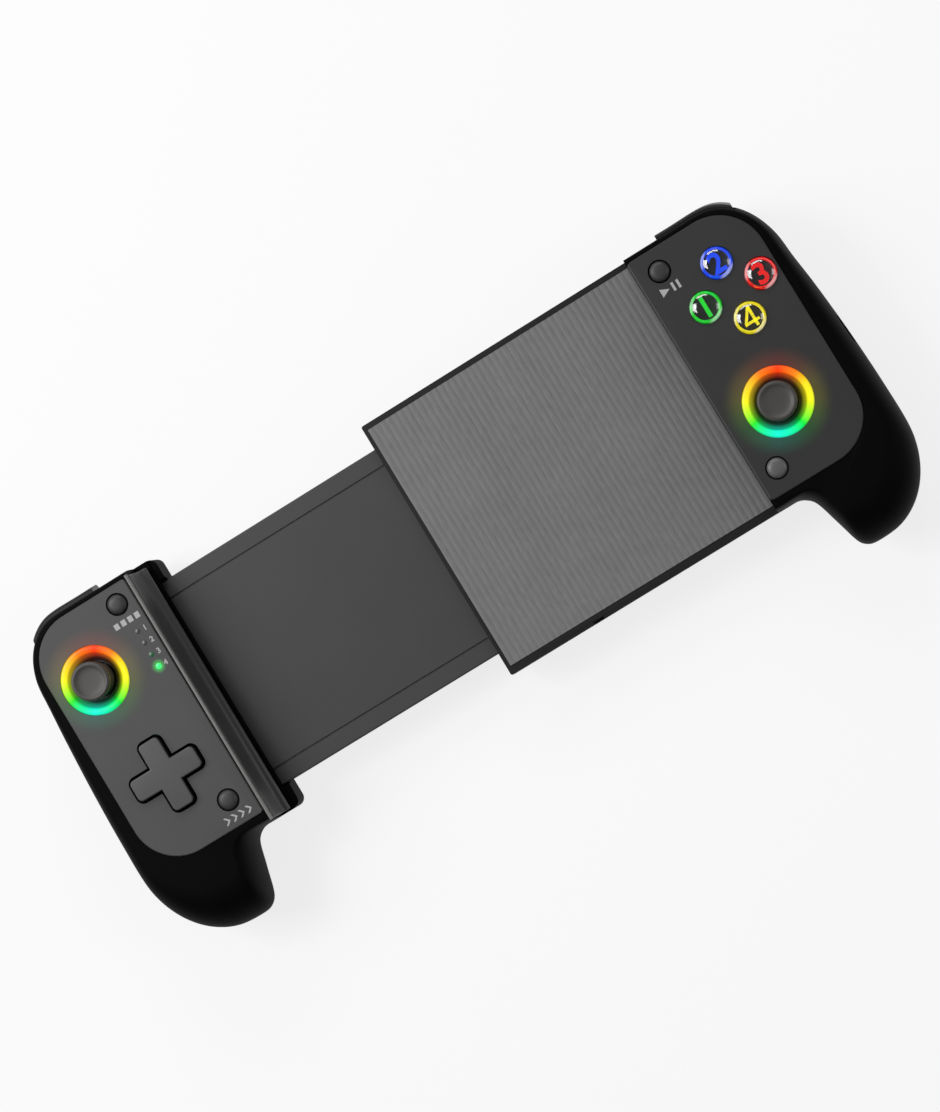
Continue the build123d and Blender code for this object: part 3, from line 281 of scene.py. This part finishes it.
def cover_plastic(name, code, centre, lamp=None):
    """dark grey plastic with a painted glow round its ring, and round a lit lamp at a place in mm"""
    material = moulded(name, code, 0.55, 0.3, 0.03, gloss=0.4)
    tree = material.node_tree
    skin = first_of(tree, "BSDF_PRINCIPLED")
    where = first_of(tree, "TEX_COORD").outputs["Object"]
    colour, away = ring_light(tree, where, centre)
    # Painted glow: the cover emits the ring's colours, fading out from the ring's edge.
    fade = add(tree, "ShaderNodeMapRange", {
        0: away, 1: 9.8 * mm, 2: 17.0 * mm, 3: 0.07, 4: 0.0,
    }, interpolation_type="SMOOTHERSTEP")
    glow = add(tree, "ShaderNodeVectorMath", {0: colour, "Scale": fade.outputs[0]}, operation="SCALE").outputs[0]
    if lamp:
        # Painted glow: a green halo round the lit lamp.
        place = (lamp[0] * mm, lamp[1] * mm, 0)
        beside = add(tree, "ShaderNodeVectorMath", {0: where, 1: place}, operation="SUBTRACT")
        flat = add(tree, "ShaderNodeVectorMath", {0: beside.outputs[0], 1: (1, 1, 0)}, operation="MULTIPLY")
        away = add(tree, "ShaderNodeVectorMath", {0: flat.outputs[0]}, operation="LENGTH")
        fade = add(tree, "ShaderNodeMapRange", {
            0: away.outputs["Value"], 1: 0.5 * mm, 2: 2.6 * mm, 3: 0.5, 4: 0.0,
        }, interpolation_type="SMOOTHERSTEP")
        green = add(tree, "ShaderNodeVectorMath", {0: rgb("#20E050")[:3], "Scale": fade.outputs[0]}, operation="SCALE")
        glow = add(tree, "ShaderNodeVectorMath", {0: glow, 1: green.outputs[0]}, operation="ADD").outputs[0]
    tree.links.new(glow, skin.inputs["Emission Color"])
    skin.inputs["Emission Strength"].default_value = 1.0
    return material


lit_lamp = (-91.3, 22.9)
cover_overlap = 0.75 * mm
# Painted light and shade: one plastic gets a lighter code on the left cover and a darker one on the right, for the
# left window's light.
for side, code, lamp in (("left", "#414141", lit_lamp), ("right", "#262626", None)):
    grey = cover_plastic(side + "_dark_grey_polycarbonate", code, stick_places[side], lamp)
    cover = eased(side + "_face_cover", grey, 0.25, 3)
    if side == "right":
        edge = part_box("right_face_cover")[0].x
        for vert in cover.data.vertices:
            vert.co.x -= cover_overlap * max(0, 1 - (vert.co.x - edge) / mm)


# Lit rings.
# A frosted acrylic ring sits flush in each cover and is lit from below by coloured LEDs,
# so its whole domed face glows and the colours melt into each other.
def spun(profile, centre, steps=72):
    """turns a profile of (radius, height) in mm about an upright axis"""
    bm = bmesh.new()
    points = [bm.verts.new((r * mm, 0, z * mm)) for r, z in profile]
    edges = [bm.edges.new(pair) for pair in zip(points, points[1:])]
    bmesh.ops.spin(bm, geom=points + edges, cent=(0, 0, 0), axis=(0, 0, 1), angle=2 * pi, steps=steps, use_merge=True)
    bmesh.ops.remove_doubles(bm, verts=bm.verts, dist=0.001 * mm)
    bmesh.ops.recalc_face_normals(bm, faces=bm.faces)
    bmesh.ops.translate(bm, verts=bm.verts, vec=(centre[0] * mm, centre[1] * mm, 0))
    return bm


def frosted_ring(side):
    material, tree = new_material(side + "_frosted_acrylic_lit")
    where = add(tree, "ShaderNodeTexCoord").outputs["Object"]
    colour, away = ring_light(tree, where, stick_places[side])
    glow = add(tree, "ShaderNodeMapRange", {
        0: away, 1: 8.0 * mm, 2: 8.7 * mm, 3: 0.55, 4: 1.15,
    }, interpolation_type="SMOOTHSTEP")
    rim = add(tree, "ShaderNodeMapRange", {0: away, 1: 9.9 * mm, 2: 10.4 * mm, 3: 1.0, 4: 0.55})
    both = add(tree, "ShaderNodeMath", {0: glow.outputs[0], 1: rim.outputs[0]}, operation="MULTIPLY")
    skin = add(tree, "ShaderNodeBsdfPrincipled", {
        "Base Color": rgb("#080808"), "Roughness": 0.4, "IOR": 1.49, "Specular IOR Level": 0.25,
        "Emission Color": colour, "Emission Strength": both.outputs[0],
    })
    show(tree, skin.outputs[0])
    return material


ring_profile = (
    (8.1, 28.2), (8.1, 31.5), (8.25, 31.85), (8.7, 32.15), (9.3, 32.28), (9.8, 32.2), (10.15, 32.05),
    (10.28, 31.8), (10.28, 28.6), (11.5, 28.55), (11.5, 27.6), (8.1, 27.6), (8.1, 28.2),
)
for side, place in stick_places.items():
    form = spun(ring_profile, place, 96)
    ring = piece_of(form, side + "_ring", frosted_ring(side), side + "_half", 50)
    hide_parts(side + "_light_ring")


# Thumb sticks.
# The cap is black thermoplastic rubber moulded over a plastic post: a shallow dish inside a
# raised rim, a waisted neck, and a round skirt that closes the funnel inside the lit ring.
cap_rubber = moulded("moulded_stick_rubber", "#3E3C39", 0.5, 0.35, 0.04)
acetal = moulded("white_acetal", "#C9C7C0", 0.42, 0.5, 0.01)
black_acetal = moulded("black_acetal", "#121212", 0.45, 0.5, 0.01)
cap_profile = (
    (0, 37.4), (2.4, 37.42), (3.6, 37.48), (4.15, 37.6), (4.5, 37.8), (4.85, 37.95), (5.2, 37.98), (5.55, 37.75),
    (5.78, 37.3), (5.8, 36.6), (5.75, 35.7), (5.55, 35.2), (4.9, 34.95), (4.0, 34.7), (3.5, 34.2), (3.3, 33.4),
    (3.27, 30.9), (3.6, 30.4), (4.13, 29.9), (4.91, 29.27), (5.18, 29.0), (4.8, 28.68), (4.5, 28.9), (3.3, 29.72),
    (1.4, 30.1), (1.4, 33.5), (0, 33.5),
)
funnel_profile = (
    (8.05, 31.5), (7.5, 30.4), (6.8, 29.4), (5.9, 28.6), (6.1, 28.3), (7.3, 28.9), (8.05, 30.6), (8.05, 31.5),
)
for side, place in stick_places.items():
    funnel_painted_ring_glow = moulded(side + "_black_abs_funnel_painted_ring_glow", "#1A1A1A", 0.35, 0.3, 0.01)
    tree = funnel_painted_ring_glow.node_tree
    skin = first_of(tree, "BSDF_PRINCIPLED")
    colour, away = ring_light(tree, first_of(tree, "TEX_COORD").outputs["Object"], place)
    # Painted light: the black funnel emits the ring's colours, strongest towards the ring, standing in for the ring's
    # light on it.
    fade = add(tree, "ShaderNodeMapRange", {
        0: away, 1: 6.4 * mm, 2: 8.1 * mm, 3: 0.02, 4: 0.4,
    }, interpolation_type="SMOOTHSTEP")
    tree.links.new(colour, skin.inputs["Emission Color"])
    tree.links.new(fade.outputs[0], skin.inputs["Emission Strength"])
    form = spun(cap_profile, place, 96)
    cap = piece_of(form, side + "_cap", cap_rubber, side + "_stick", 50)
    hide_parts(side + "_stick_cap")
    form = spun(funnel_profile, place, 72)
    piece_of(form, side + "_funnel", funnel_painted_ring_glow, side + "_half", 50)
    dress([side + "_stick_base", side + "_stick_yoke"], black_acetal)
    dress([side + "_stick_ball", side + "_stick_shaft"], acetal)


# Direction pad.
# One moulded ABS cross that rocks on a puck of white acetal. Its top is dark grey with
# softly rounded edges, and its walls are painted near black, a painted shade that makes it seem to stand in a dark
# gap.
direction_pad_painted_shade = moulded("dark_grey_abs_direction_pad_painted_shade", "#414141", 0.45, 0.3, 0.02)
tree = direction_pad_painted_shade.node_tree
skin = first_of(tree, "BSDF_PRINCIPLED")
top_tone = skin.inputs["Base Color"].links[0].from_socket
# Painted shade: faces that turn away from upright are mixed towards near black.
facing = add(tree, "ShaderNodeSeparateXYZ", {0: first_of(tree, "TEX_COORD").outputs["Normal"]})
wear_and_painted_shade = add(tree, "ShaderNodeMapRange", {0: facing.outputs["Z"], 1: 0.6, 2: 0.97, 3: 0.0, 4: 1.0})
tone = add(tree, "ShaderNodeMix", {0: wear_and_painted_shade.outputs[0], 6: rgb("#060606"), 7: top_tone}, data_type="RGBA")
tree.links.new(tone.outputs[2], skin.inputs["Base Color"])
eased("dpad_cap", direction_pad_painted_shade, 0.65, 5)
dress(["dpad_rocker"], acetal)


# Menu buttons.
# Small domed keys of black ABS, each moulded with a flange that holds it under the cover. The
# home key is a pale grey one, left bare.
key_black = moulded("black_abs_menu_keys", "#303030", 0.46, 0.3, 0.015, gloss=0.4)
key_grey = moulded("grey_abs_home_key", "#5C5C5C", 0.42, 0.9, 0.06, 0.3)
key_profile = (
    (0, 33.0), (1.1, 32.97), (1.9, 32.88), (2.45, 32.68), (2.78, 32.36), (2.95, 31.9), (3.0, 31.0), (3.0, 28.3),
    (3.9, 28.3), (3.9, 27.1), (1.5, 27.1), (1.5, 25.2), (0, 25.2),
)
key_places = {"select": (-92.5, 44.7), "turbo": (-94.1, -21.1), "start": (93.3, 43.5), "home": (92.6, -22.0)}
for name, place in key_places.items():
    plastic = key_grey if name == "home" else key_black
    key = piece_of(spun(key_profile, place, 48), name + "_key", plastic, name + "_button", 50)
    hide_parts(name + "_button")


# Round buttons.
# Each is a clear acrylic dome over a dark well, with a bright coloured ring and a plain number
# printed below the dome. The ring and number glow with painted light, and painted highlights pale the ring on two
# sides.
def clear_acrylic(name, code):
    material, tree = new_material(name)
    skin = add(tree, "ShaderNodeBsdfPrincipled", {
        "Base Color": rgb(code), "Roughness": 0.03, "IOR": 1.49, "Transmission Weight": 1.0,
        "Coat Weight": 1.0, "Coat IOR": 1.8, "Coat Roughness": 0.05,
    })
    show(tree, skin.outputs[0])
    return material


def bright_print(name, code, glow, centre=None):
    """a saturated, slightly uneven print that glows; given a centre in mm, painted highlights pale its rim on two
    sides
    """
    material, tree = new_material(name)
    where = add(tree, "ShaderNodeTexCoord").outputs["Object"]
    cloud = add(tree, "ShaderNodeTexNoise", {"Vector": where, "Scale": 700.0})
    tone = add(tree, "ShaderNodeMapRange", {0: cloud.outputs["Fac"], 3: glow * 0.75, 4: glow * 1.25})
    skin = add(tree, "ShaderNodeBsdfPrincipled", {
        "Base Color": rgb(code), "Roughness": 0.3, "IOR": 1.49,
        "Emission Color": rgb(code), "Emission Strength": tone.outputs[0],
    })
    # Painted highlights: two lobes of the rim are mixed towards white, standing in for glints.
    if centre:
        place = (centre[0] * mm, centre[1] * mm, 0)
        beside = add(tree, "ShaderNodeVectorMath", {0: where, 1: place}, operation="SUBTRACT")
        flat = add(tree, "ShaderNodeVectorMath", {0: beside.outputs[0], 1: (1, 1, 0)}, operation="MULTIPLY")
        painted_highlight_lobes = []
        for way in ((-0.78, 0.62, 0), (0.37, -0.93, 0)):
            reach = add(tree, "ShaderNodeVectorMath", {0: flat.outputs[0], 1: way}, operation="DOT_PRODUCT")
            painted_highlight_lobe = add(tree, "ShaderNodeMapRange", {
                0: reach.outputs["Value"], 1: 3.1 * mm, 2: 4.1 * mm,
            }, interpolation_type="SMOOTHSTEP")
            painted_highlight_lobes.append(painted_highlight_lobe.outputs[0])
        pale = add(tree, "ShaderNodeMath", {0: painted_highlight_lobes[0], 1: painted_highlight_lobes[1]}, operation="MAXIMUM")
        highlight_share = add(tree, "ShaderNodeMath", {0: pale.outputs[0], 1: 0.75}, operation="MULTIPLY")
        mixed = add(tree, "ShaderNodeMix", {0: highlight_share.outputs[0], 6: rgb(code), 7: (1, 1, 1, 1)}, data_type="RGBA")
        tree.links.new(mixed.outputs[2], skin.inputs["Emission Color"])
    show(tree, skin.outputs[0])
    return material


def drawn_out(bm, way):
    """draws the faces of a flat bmesh out by a vector, into closed bodies"""
    drawn = bmesh.ops.extrude_face_region(bm, geom=bm.faces[:])["geom"]
    bmesh.ops.translate(bm, verts=[v for v in drawn if isinstance(v, bmesh.types.BMVert)], vec=way)
    bmesh.ops.recalc_face_normals(bm, faces=bm.faces)


def raised_outlines(outlines, centre, base, thickness):
    """flat outlines about a centre, raised from a base height, all in mm"""
    bm = bmesh.new()
    for outline in outlines:
        bm.faces.new([bm.verts.new(((centre[0] + x) * mm, (centre[1] + y) * mm, base * mm)) for x, y in outline])
    drawn_out(bm, (0, 0, thickness * mm))
    return bm


def lettered(text, size, centre, height, thickness, weight=0.0):
    """a plain number as a bmesh, centred on a place in mm"""
    curve = bpy.data.curves.new("number", "FONT")
    curve.body = text
    curve.size = size * mm
    curve.offset = weight * mm
    curve.extrude = thickness * mm / 2
    curve.align_x = "CENTER"
    holder = bpy.data.objects.new("number", curve)
    scene.collection.objects.link(holder)
    bpy.context.view_layer.update()
    mesh = bpy.data.meshes.new_from_object(holder.evaluated_get(bpy.context.evaluated_depsgraph_get()))
    bm = bmesh.new()
    bm.from_mesh(mesh)
    bpy.data.objects.remove(holder)
    bpy.data.meshes.remove(mesh)
    bpy.data.curves.remove(curve)
    bmesh.ops.remove_doubles(bm, verts=bm.verts, dist=0.001 * mm)
    low = [min(v.co[i] for v in bm.verts) for i in range(2)]
    high = [max(v.co[i] for v in bm.verts) for i in range(2)]
    middle = [(a + b) / 2 for a, b in zip(low, high)]
    bmesh.ops.translate(bm, verts=bm.verts, vec=(centre[0] * mm - middle[0], centre[1] * mm - middle[1], height * mm))
    return bm


well_black = moulded("black_button_well", "#08080A", 0.3, 0.3, 0.005)
dome_profile = (
    (0, 34.0), (1.4, 33.97), (2.6, 33.84), (3.5, 33.55), (4.1, 33.15), (4.5, 32.6), (4.68, 32.0), (4.7, 31.2),
    (4.7, 28.3), (5.6, 28.3), (5.6, 27.1), (0, 27.1),
)
cup_profile = ((3.5, 32.25), (3.6, 32.55), (3.95, 32.68), (4.35, 32.4), (4.45, 31.8), (4.45, 28.5), (0, 28.5))
well_profile = ((0, 32.2), (3.6, 32.2), (3.6, 31.9), (0, 31.9))
number_height = 32.3
number_thickness = 0.3
four = (
    ((0.55, -2.9), (1.4, -2.9), (1.4, 2.9), (0.55, 2.9)),
    ((-2.2, -1.75), (2.3, -1.75), (2.3, -0.95), (-2.2, -0.95)),
    ((-2.2, -0.95), (-1.25, -0.95), (1.4, 2.9), (0.45, 2.9)),
)
button_places = {
    "green": (99.2, 27.8, "1", "#1CD038", "#C8FFD0"), "blue": (108.4, 37.0, "2", "#1250E8", "#C8D8FF"),
    "red": (117.6, 27.8, "3", "#E01216", "#FFD0D0"), "yellow": (108.4, 18.6, "4", "#E8DC1C", "#FFFBD0"),
}
for name, (x, y, number, code, clear) in button_places.items():
    body = name + "_button"
    # The print's emission is painted glow, standing in for the light that the acrylic gathers.
    colour = bright_print(name + "_print", code, 0.6, (x, y))
    acrylic = clear_acrylic(name + "_clear_acrylic", clear)
    dome = piece_of(spun(dome_profile, (x, y), 64), name + "_dome", acrylic, body, 40)
    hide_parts(body)
    piece_of(spun(cup_profile, (x, y), 64), name + "_cup", colour, body, 50)
    piece_of(spun(well_profile, (x, y), 48), name + "_well", well_black, body, 50)
    if number == "4":
        figure = raised_outlines(four, (x, y), number_height - number_thickness / 2, number_thickness)
    else:
        figure = lettered(number, 8.2, (x, y), number_height, number_thickness, 0.2)
    piece_of(figure, name + "_number", colour, body, 30)


# Player lamps and printed marks.
# Four acrylic light guides end in pin-holes of the left cover, the last one lit and the third
# one dim. The numbers and the small signs beside the keys are printed in white ink.
ink, tree = new_material("white_pad_printing_ink")
where = add(tree, "ShaderNodeTexCoord").outputs["Object"]
wear_and_painted_shade = add(tree, "ShaderNodeTexNoise", {"Vector": where, "Scale": 3000.0, "Detail": 3.0})
tone = add(tree, "ShaderNodeMix", {0: wear_and_painted_shade.outputs["Fac"], 6: rgb("#8E8E8E"), 7: rgb("#B4B4B4")}, data_type="RGBA")
show(tree, add(tree, "ShaderNodeBsdfPrincipled", {"Base Color": tone.outputs[2], "Roughness": 0.6}).outputs[0])

lamp_profile = ((0, 32.12), (0.35, 32.1), (0.62, 32.05), (0.8, 32.0), (0.8, 31.3), (0, 31.3))
lamp_pitch = 3.95
lamp_number_x = -88.9
lamp_looks = ((4, "#20E050", 2.4), (3, "#1A4A2C", 0.3), (2, "#3A3E3A", 0.0), (1, "#3A3E3A", 0.0))
for i, (number, code, glow) in enumerate(lamp_looks):
    x, y = lit_lamp[0], lit_lamp[1] + lamp_pitch * i
    lit = bright_print("lamp_acrylic_%d" % number, code, glow)
    piece_of(spun(lamp_profile, (x, y), 24), "lamp_%d" % number, lit, "left_half", 50)
    figure = lettered(str(number), 2.3, (lamp_number_x, y), 32.02, 0.02, 0.06)
    piece_of(figure, "lamp_number_%d" % number, ink, "left_half", 30)
frosted = moulded("frosted_lamp_acrylic", "#B8C8BC", 0.3, 0.3, 0.01)
dress(["player_light_guides"], frosted)


def printed(name, outlines, centre, body):
    """flat signs in ink on a cover, from outlines about a centre"""
    sized = [[(sign_scale * x, sign_scale * y) for x, y in outline] for outline in outlines]
    piece_of(raised_outlines(sized, centre, ink_base, ink_thickness), name, ink, body, 30)


def bar(x0, x1, y0, y1):
    return ((x0, y0), (x1, y0), (x1, y1), (x0, y1))


def chevron(x):
    return ((x, -0.9), (x + 0.55, -0.9), (x + 1.45, 0), (x + 0.55, 0.9), (x, 0.9), (x + 0.9, 0))


sign_scale = 1.3
ink_base = 32.01
ink_thickness = 0.03
squares = [bar(x, x + 1.2, -0.7, 0.7) for x in (-3.3, -1.5, 0.3, 2.1)]
play_pause = (((-1.9, -1.0), (0.2, 0), (-1.9, 1.0)), bar(0.9, 1.5, -1.0, 1.0), bar(2.2, 2.8, -1.0, 1.0))
printed("select_sign", squares, (-92.5, 39.05), "left_half")
printed("start_sign", play_pause, (92.9, 37.75), "right_half")
printed("turbo_sign", [chevron(x) for x in (-3.2, -1.3, 0.6, 2.5)], (-94.3, -26.45), "left_half")


# Shoulder buttons and triggers.
# Each shoulder carries a flat key and, behind it, a curved trigger. They are of glossier black
# ABS, from a polished mould. The trigger's outer corner is drawn in under the key.
key_gloss = moulded("black_abs_shoulder_keys", "#0C0C0C", 0.38, 0.4, 0.01, gloss=0.3)
corner_y = 48 * mm
corner_share = 0.3
for side in ("left", "right"):
    eased(side + "_bumper", key_gloss, 0.3, 3)
    trigger = eased(side + "_trigger", key_gloss, 0.4, 3)
    for vert in trigger.data.vertices:
        vert.co.y -= corner_share * max(0, vert.co.y - corner_y)


# Jaws.
# A strip of soft rubber on each jaw wall grips the ends of the phone. It hangs from the rim
# in a shallow hollow to a rounded foot. The left jaw's rim carries a black ABS bead, painted mid grey as a painted
# highlight.
jaw_rubber = moulded("jaw_strip_rubber", "#363636", 0.45, 0.4, 0.03)
# Painted highlight: the black bead's colour is a mid grey.
bead_painted_highlight = moulded("black_abs_bead_painted_highlight", "#747472", 0.34, 0.4, 0.01)
strip_beyond = 1.3 * mm
strip_profile = (
    (0, 1.8), (0.2, 1.8), (0.27, 2.0), (0.3, 2.5), (0.34, 4.0), (0.4, 6.0), (0.48, 8.0), (0.58, 9.4), (0.7, 10.15),
    (0.85, 10.35), (1.0, 10.45), (1.12, 10.7), (1.18, 11.2), (1.16, 11.9), (1.05, 12.35), (0.9, 12.6), (0, 12.6),
)
for side, outward in (("left", 1), ("right", -1)):
    low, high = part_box(side + "_jaw_pad")
    root, reach = (low.x, high.x - low.x) if outward > 0 else (high.x, low.x - high.x)
    bm = bmesh.new()
    foot_y, head_y = low.y - strip_beyond, high.y + strip_beyond
    bm.faces.new([bm.verts.new((root + share * reach, foot_y, high.z - drop * mm)) for share, drop in strip_profile])
    drawn_out(bm, (0, head_y - foot_y, 0))
    tips = [e for e in bm.edges if abs(e.verts[0].co.y - e.verts[1].co.y) < 0.01 * mm]
    bmesh.ops.bevel(
        bm, geom=tips, offset=0.35 * mm, segments=3, profile=0.5, affect="EDGES", material=-1, clamp_overlap=True,
    )
    strip = piece_of(bm, side + "_jaw_strip", jaw_rubber, side + "_half", 50)
    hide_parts(side + "_jaw_pad")

bead_x = -86.05 * mm
bead_z = 31.4
bead_beyond = 1.4 * mm
bead_profile = (
    (-0.5, 0), (-0.46, 0.3), (-0.3, 0.55), (0, 0.66), (0.32, 0.55), (0.5, 0.25), (0.52, -0.3), (0, -0.5),
)
low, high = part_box("left_jaw_pad")
bm = bmesh.new()
bm.faces.new([bm.verts.new((bead_x + x * mm, low.y - bead_beyond, (bead_z + z) * mm)) for x, z in bead_profile])
drawn_out(bm, (0, high.y - low.y + 2 * bead_beyond, 0))
piece_of(bm, "left_jaw_bead", bead_painted_highlight, "left_half", 60)


# Sliding plate.
# A flat plate of matt dark grey ABS, moulded with two lines along it, slides in the tray. It
# is closed below by a thin black lid, held by screws.
plate_abs = moulded("dark_grey_abs_plate", "#303030", 0.5, 0.3, 0.03)
eased("slide_plate", plate_abs, 0.15, 2)
lid_abs = moulded("black_abs_lid", "#202020", 0.5, 0.3, 0.02)
eased("plate_lid", lid_abs, 0.15, 2)


# Tray and phone pad.
# A black ABS tray with thin rims carries a glued pad of grey silicone, moulded with fine ribs
# across it. The ribs stand 2 mm apart, and faint streaks run along them.
tray_abs = moulded("black_abs_tray", "#121212", 0.45, 0.3, 0.02, gloss=0.3)
eased("tray_frame", tray_abs, 0.25, 3)
eased("tray_bottom", tray_abs, 0.25, 3)
pad_silicone = moulded("ribbed_grey_silicone", "#6A6A6A", 0.6, 1.6, 0.05)
tree = pad_silicone.node_tree
skin = first_of(tree, "BSDF_PRINCIPLED")
even = skin.inputs["Base Color"].links[0].from_socket
along = add(tree, "ShaderNodeMapping", {
    "Vector": first_of(tree, "TEX_COORD").outputs["Object"],
    "Scale": (1 / (0.5 * mm), 1 / (3 * mm), 1 / (2 * mm)),
})
streak = add(tree, "ShaderNodeTexNoise", {"Vector": along.outputs[0], "Scale": 1.0, "Detail": 3.0, "Roughness": 0.6})
shade = add(tree, "ShaderNodeMapRange", {0: streak.outputs["Fac"], 1: 0.25, 2: 0.75, 3: 0.86, 4: 1.12})
tone = add(tree, "ShaderNodeVectorMath", {0: even, "Scale": shade.outputs[0]}, operation="SCALE")
tree.links.new(tone.outputs[0], skin.inputs["Base Color"])
rib_pitch = 2.0
rib_profile = ((0, 0.1), (0.1, 0.08), (0.22, 0.02), (0.5, 0), (0.78, 0.02), (0.9, 0.08), (1, 0.1))
sheet_drop = 0.11 * mm
low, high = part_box("phone_pad")
bm = bmesh.new()
across = [bm.verts.new((low.x + share * rib_pitch * mm, low.y, high.z - drop * mm)) for share, drop in rib_profile]
for pair in zip(across, across[1:]):
    bm.edges.new(pair)
drawn = bmesh.ops.extrude_edge_only(bm, edges=bm.edges[:])["geom"]
bmesh.ops.translate(bm, verts=[v for v in drawn if isinstance(v, bmesh.types.BMVert)], vec=(0, high.y - low.y, 0))
ribs = piece_of(bm, "pad_ribs", pad_silicone, "right_half", 80)
row = ribs.modifiers.new("row_of_ribs", "ARRAY")
row.count = int((high.x - low.x) / (rib_pitch * mm))
row.use_relative_offset = False
row.use_constant_offset = True
row.constant_offset_displace = (rib_pitch * mm, 0, 0)
row.use_merge_vertices = True
row.merge_threshold = 0.01 * mm


def filled(low, high):
    """a plain block between two corners, as a bmesh"""
    bm = bmesh.new()
    bmesh.ops.create_cube(bm, size=1)
    bmesh.ops.scale(bm, verts=bm.verts, vec=high - low)
    bmesh.ops.translate(bm, verts=bm.verts, vec=(low + high) / 2)
    return bm


bm = filled(low, high - Vector((0, 0, sheet_drop)))
sheet = piece_of(bm, "pad_sheet", pad_silicone, "right_half", 30)
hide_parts("phone_pad")


# Inside.
# What the shells hide: circuit boards under green solder mask, dome sheets of silicone, nickel
# cased motors and socket, a foil-wrapped battery, and pins, springs, rails and screws of steel.
board_green = moulded("green_solder_mask", "#0C4A26", 0.3, 0.8, 0.02)
dome_silicone = moulded("grey_dome_silicone", "#9A9C9E", 0.5, 0.5, 0.02)
foil = moulded("battery_foil_wrap", "#8A9098", 0.35, 0.9, 0.03)
film = moulded("amber_cable_film", "#B57A1E", 0.25, 0.5, 0.01)


def steel(name, code, roughness):
    material, tree = new_material(name)
    where = add(tree, "ShaderNodeTexCoord").outputs["Object"]
    fine = add(tree, "ShaderNodeTexNoise", {"Vector": where, "Scale": 2500.0, "Detail": 2.0})
    sheen = add(tree, "ShaderNodeMapRange", {0: fine.outputs["Fac"], 3: roughness - 0.06, 4: roughness + 0.06})
    skin = add(tree, "ShaderNodeBsdfPrincipled", {
        "Base Color": rgb(code), "Metallic": 1.0, "Roughness": sheen.outputs[0],
    })
    show(tree, skin.outputs[0])
    return material


zinc = steel("zinc_plated_steel", "#B9BBBD", 0.32)
nickel = steel("nickel_plated_steel", "#C9C4B8", 0.25)
for side in ("left", "right"):
    dress([side + "_circuit_board"], board_green)
    dress([side + "_dome_sheet"], dome_silicone)
    dress([side + "_trigger_pin", side + "_trigger_spring", side + "_shell_screws"], zinc)
    dress([side + "_vibration_motor"], nickel)
dress(["plate_screws", "tray_screws", "slide_rails"], zinc)
dress(["charging_port"], nickel)
dress(["battery"], foil)


# Pull springs and flat cable between the halves.
# Two wound springs of zinc-plated wire draw the halves together, and a flat amber film cable
# joins the boards.
spring_turns = 26
coil_r = 1.1 * mm
wire_r = 0.28 * mm
hook_in = 3.0 * mm
steps_a_turn = 20
wire_lean = radians(62)
to_x = Matrix.Rotation(pi / 2, 3, "Y")
low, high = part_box("pull_springs")
start_x, end_x = low.x + hook_in, high.x - hook_in
pitch = (end_x - start_x) / spring_turns
level = (low.z + high.z) / 2
for name, lane in (("lower", low.y + coil_r + wire_r), ("upper", high.y - coil_r - wire_r)):
    top = (start_x, lane + coil_r, level)
    bm = bmesh.new()
    ring = bmesh.ops.create_circle(bm, cap_ends=True, segments=8, radius=wire_r)["verts"]
    bmesh.ops.rotate(bm, verts=ring, cent=(0, 0, 0), matrix=to_x)
    bmesh.ops.translate(bm, verts=ring, vec=top)
    bmesh.ops.rotate(bm, verts=ring, cent=top, matrix=Matrix.Rotation(wire_lean, 3, "Y"))
    bmesh.ops.spin(
        bm, geom=bm.faces[:], cent=(start_x, lane, level), axis=(1, 0, 0), dvec=(pitch / steps_a_turn, 0, 0),
        angle=2 * pi * spring_turns, steps=steps_a_turn * spring_turns,
    )
    for place, way in ((start_x, -1), (end_x, 1)):
        leg = bmesh.ops.create_cone(
            bm, cap_ends=True, segments=8, radius1=wire_r, radius2=wire_r, depth=hook_in,
        )["verts"]
        bmesh.ops.rotate(bm, verts=leg, cent=(0, 0, 0), matrix=to_x)
        bmesh.ops.translate(bm, verts=leg, vec=(place + way * hook_in / 2, lane + coil_r, level))
    bmesh.ops.recalc_face_normals(bm, faces=bm.faces)
    spring = piece_of(bm, name + "_pull_spring", zinc, body_of("pull_springs"), 60)
    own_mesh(spring)
    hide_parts("pull_springs")

low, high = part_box("ribbon_cable")
bm = filled(low, high)
lengthwise = [e for e in bm.edges if abs(e.verts[0].co.x - e.verts[1].co.x) > mm]
bmesh.ops.subdivide_edges(bm, edges=lengthwise, cuts=47, use_grid_fill=True)
cable = piece_of(bm, "film_cable", film, body_of("ribbon_cable"), 30)
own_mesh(cable)
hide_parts("ribbon_cable")
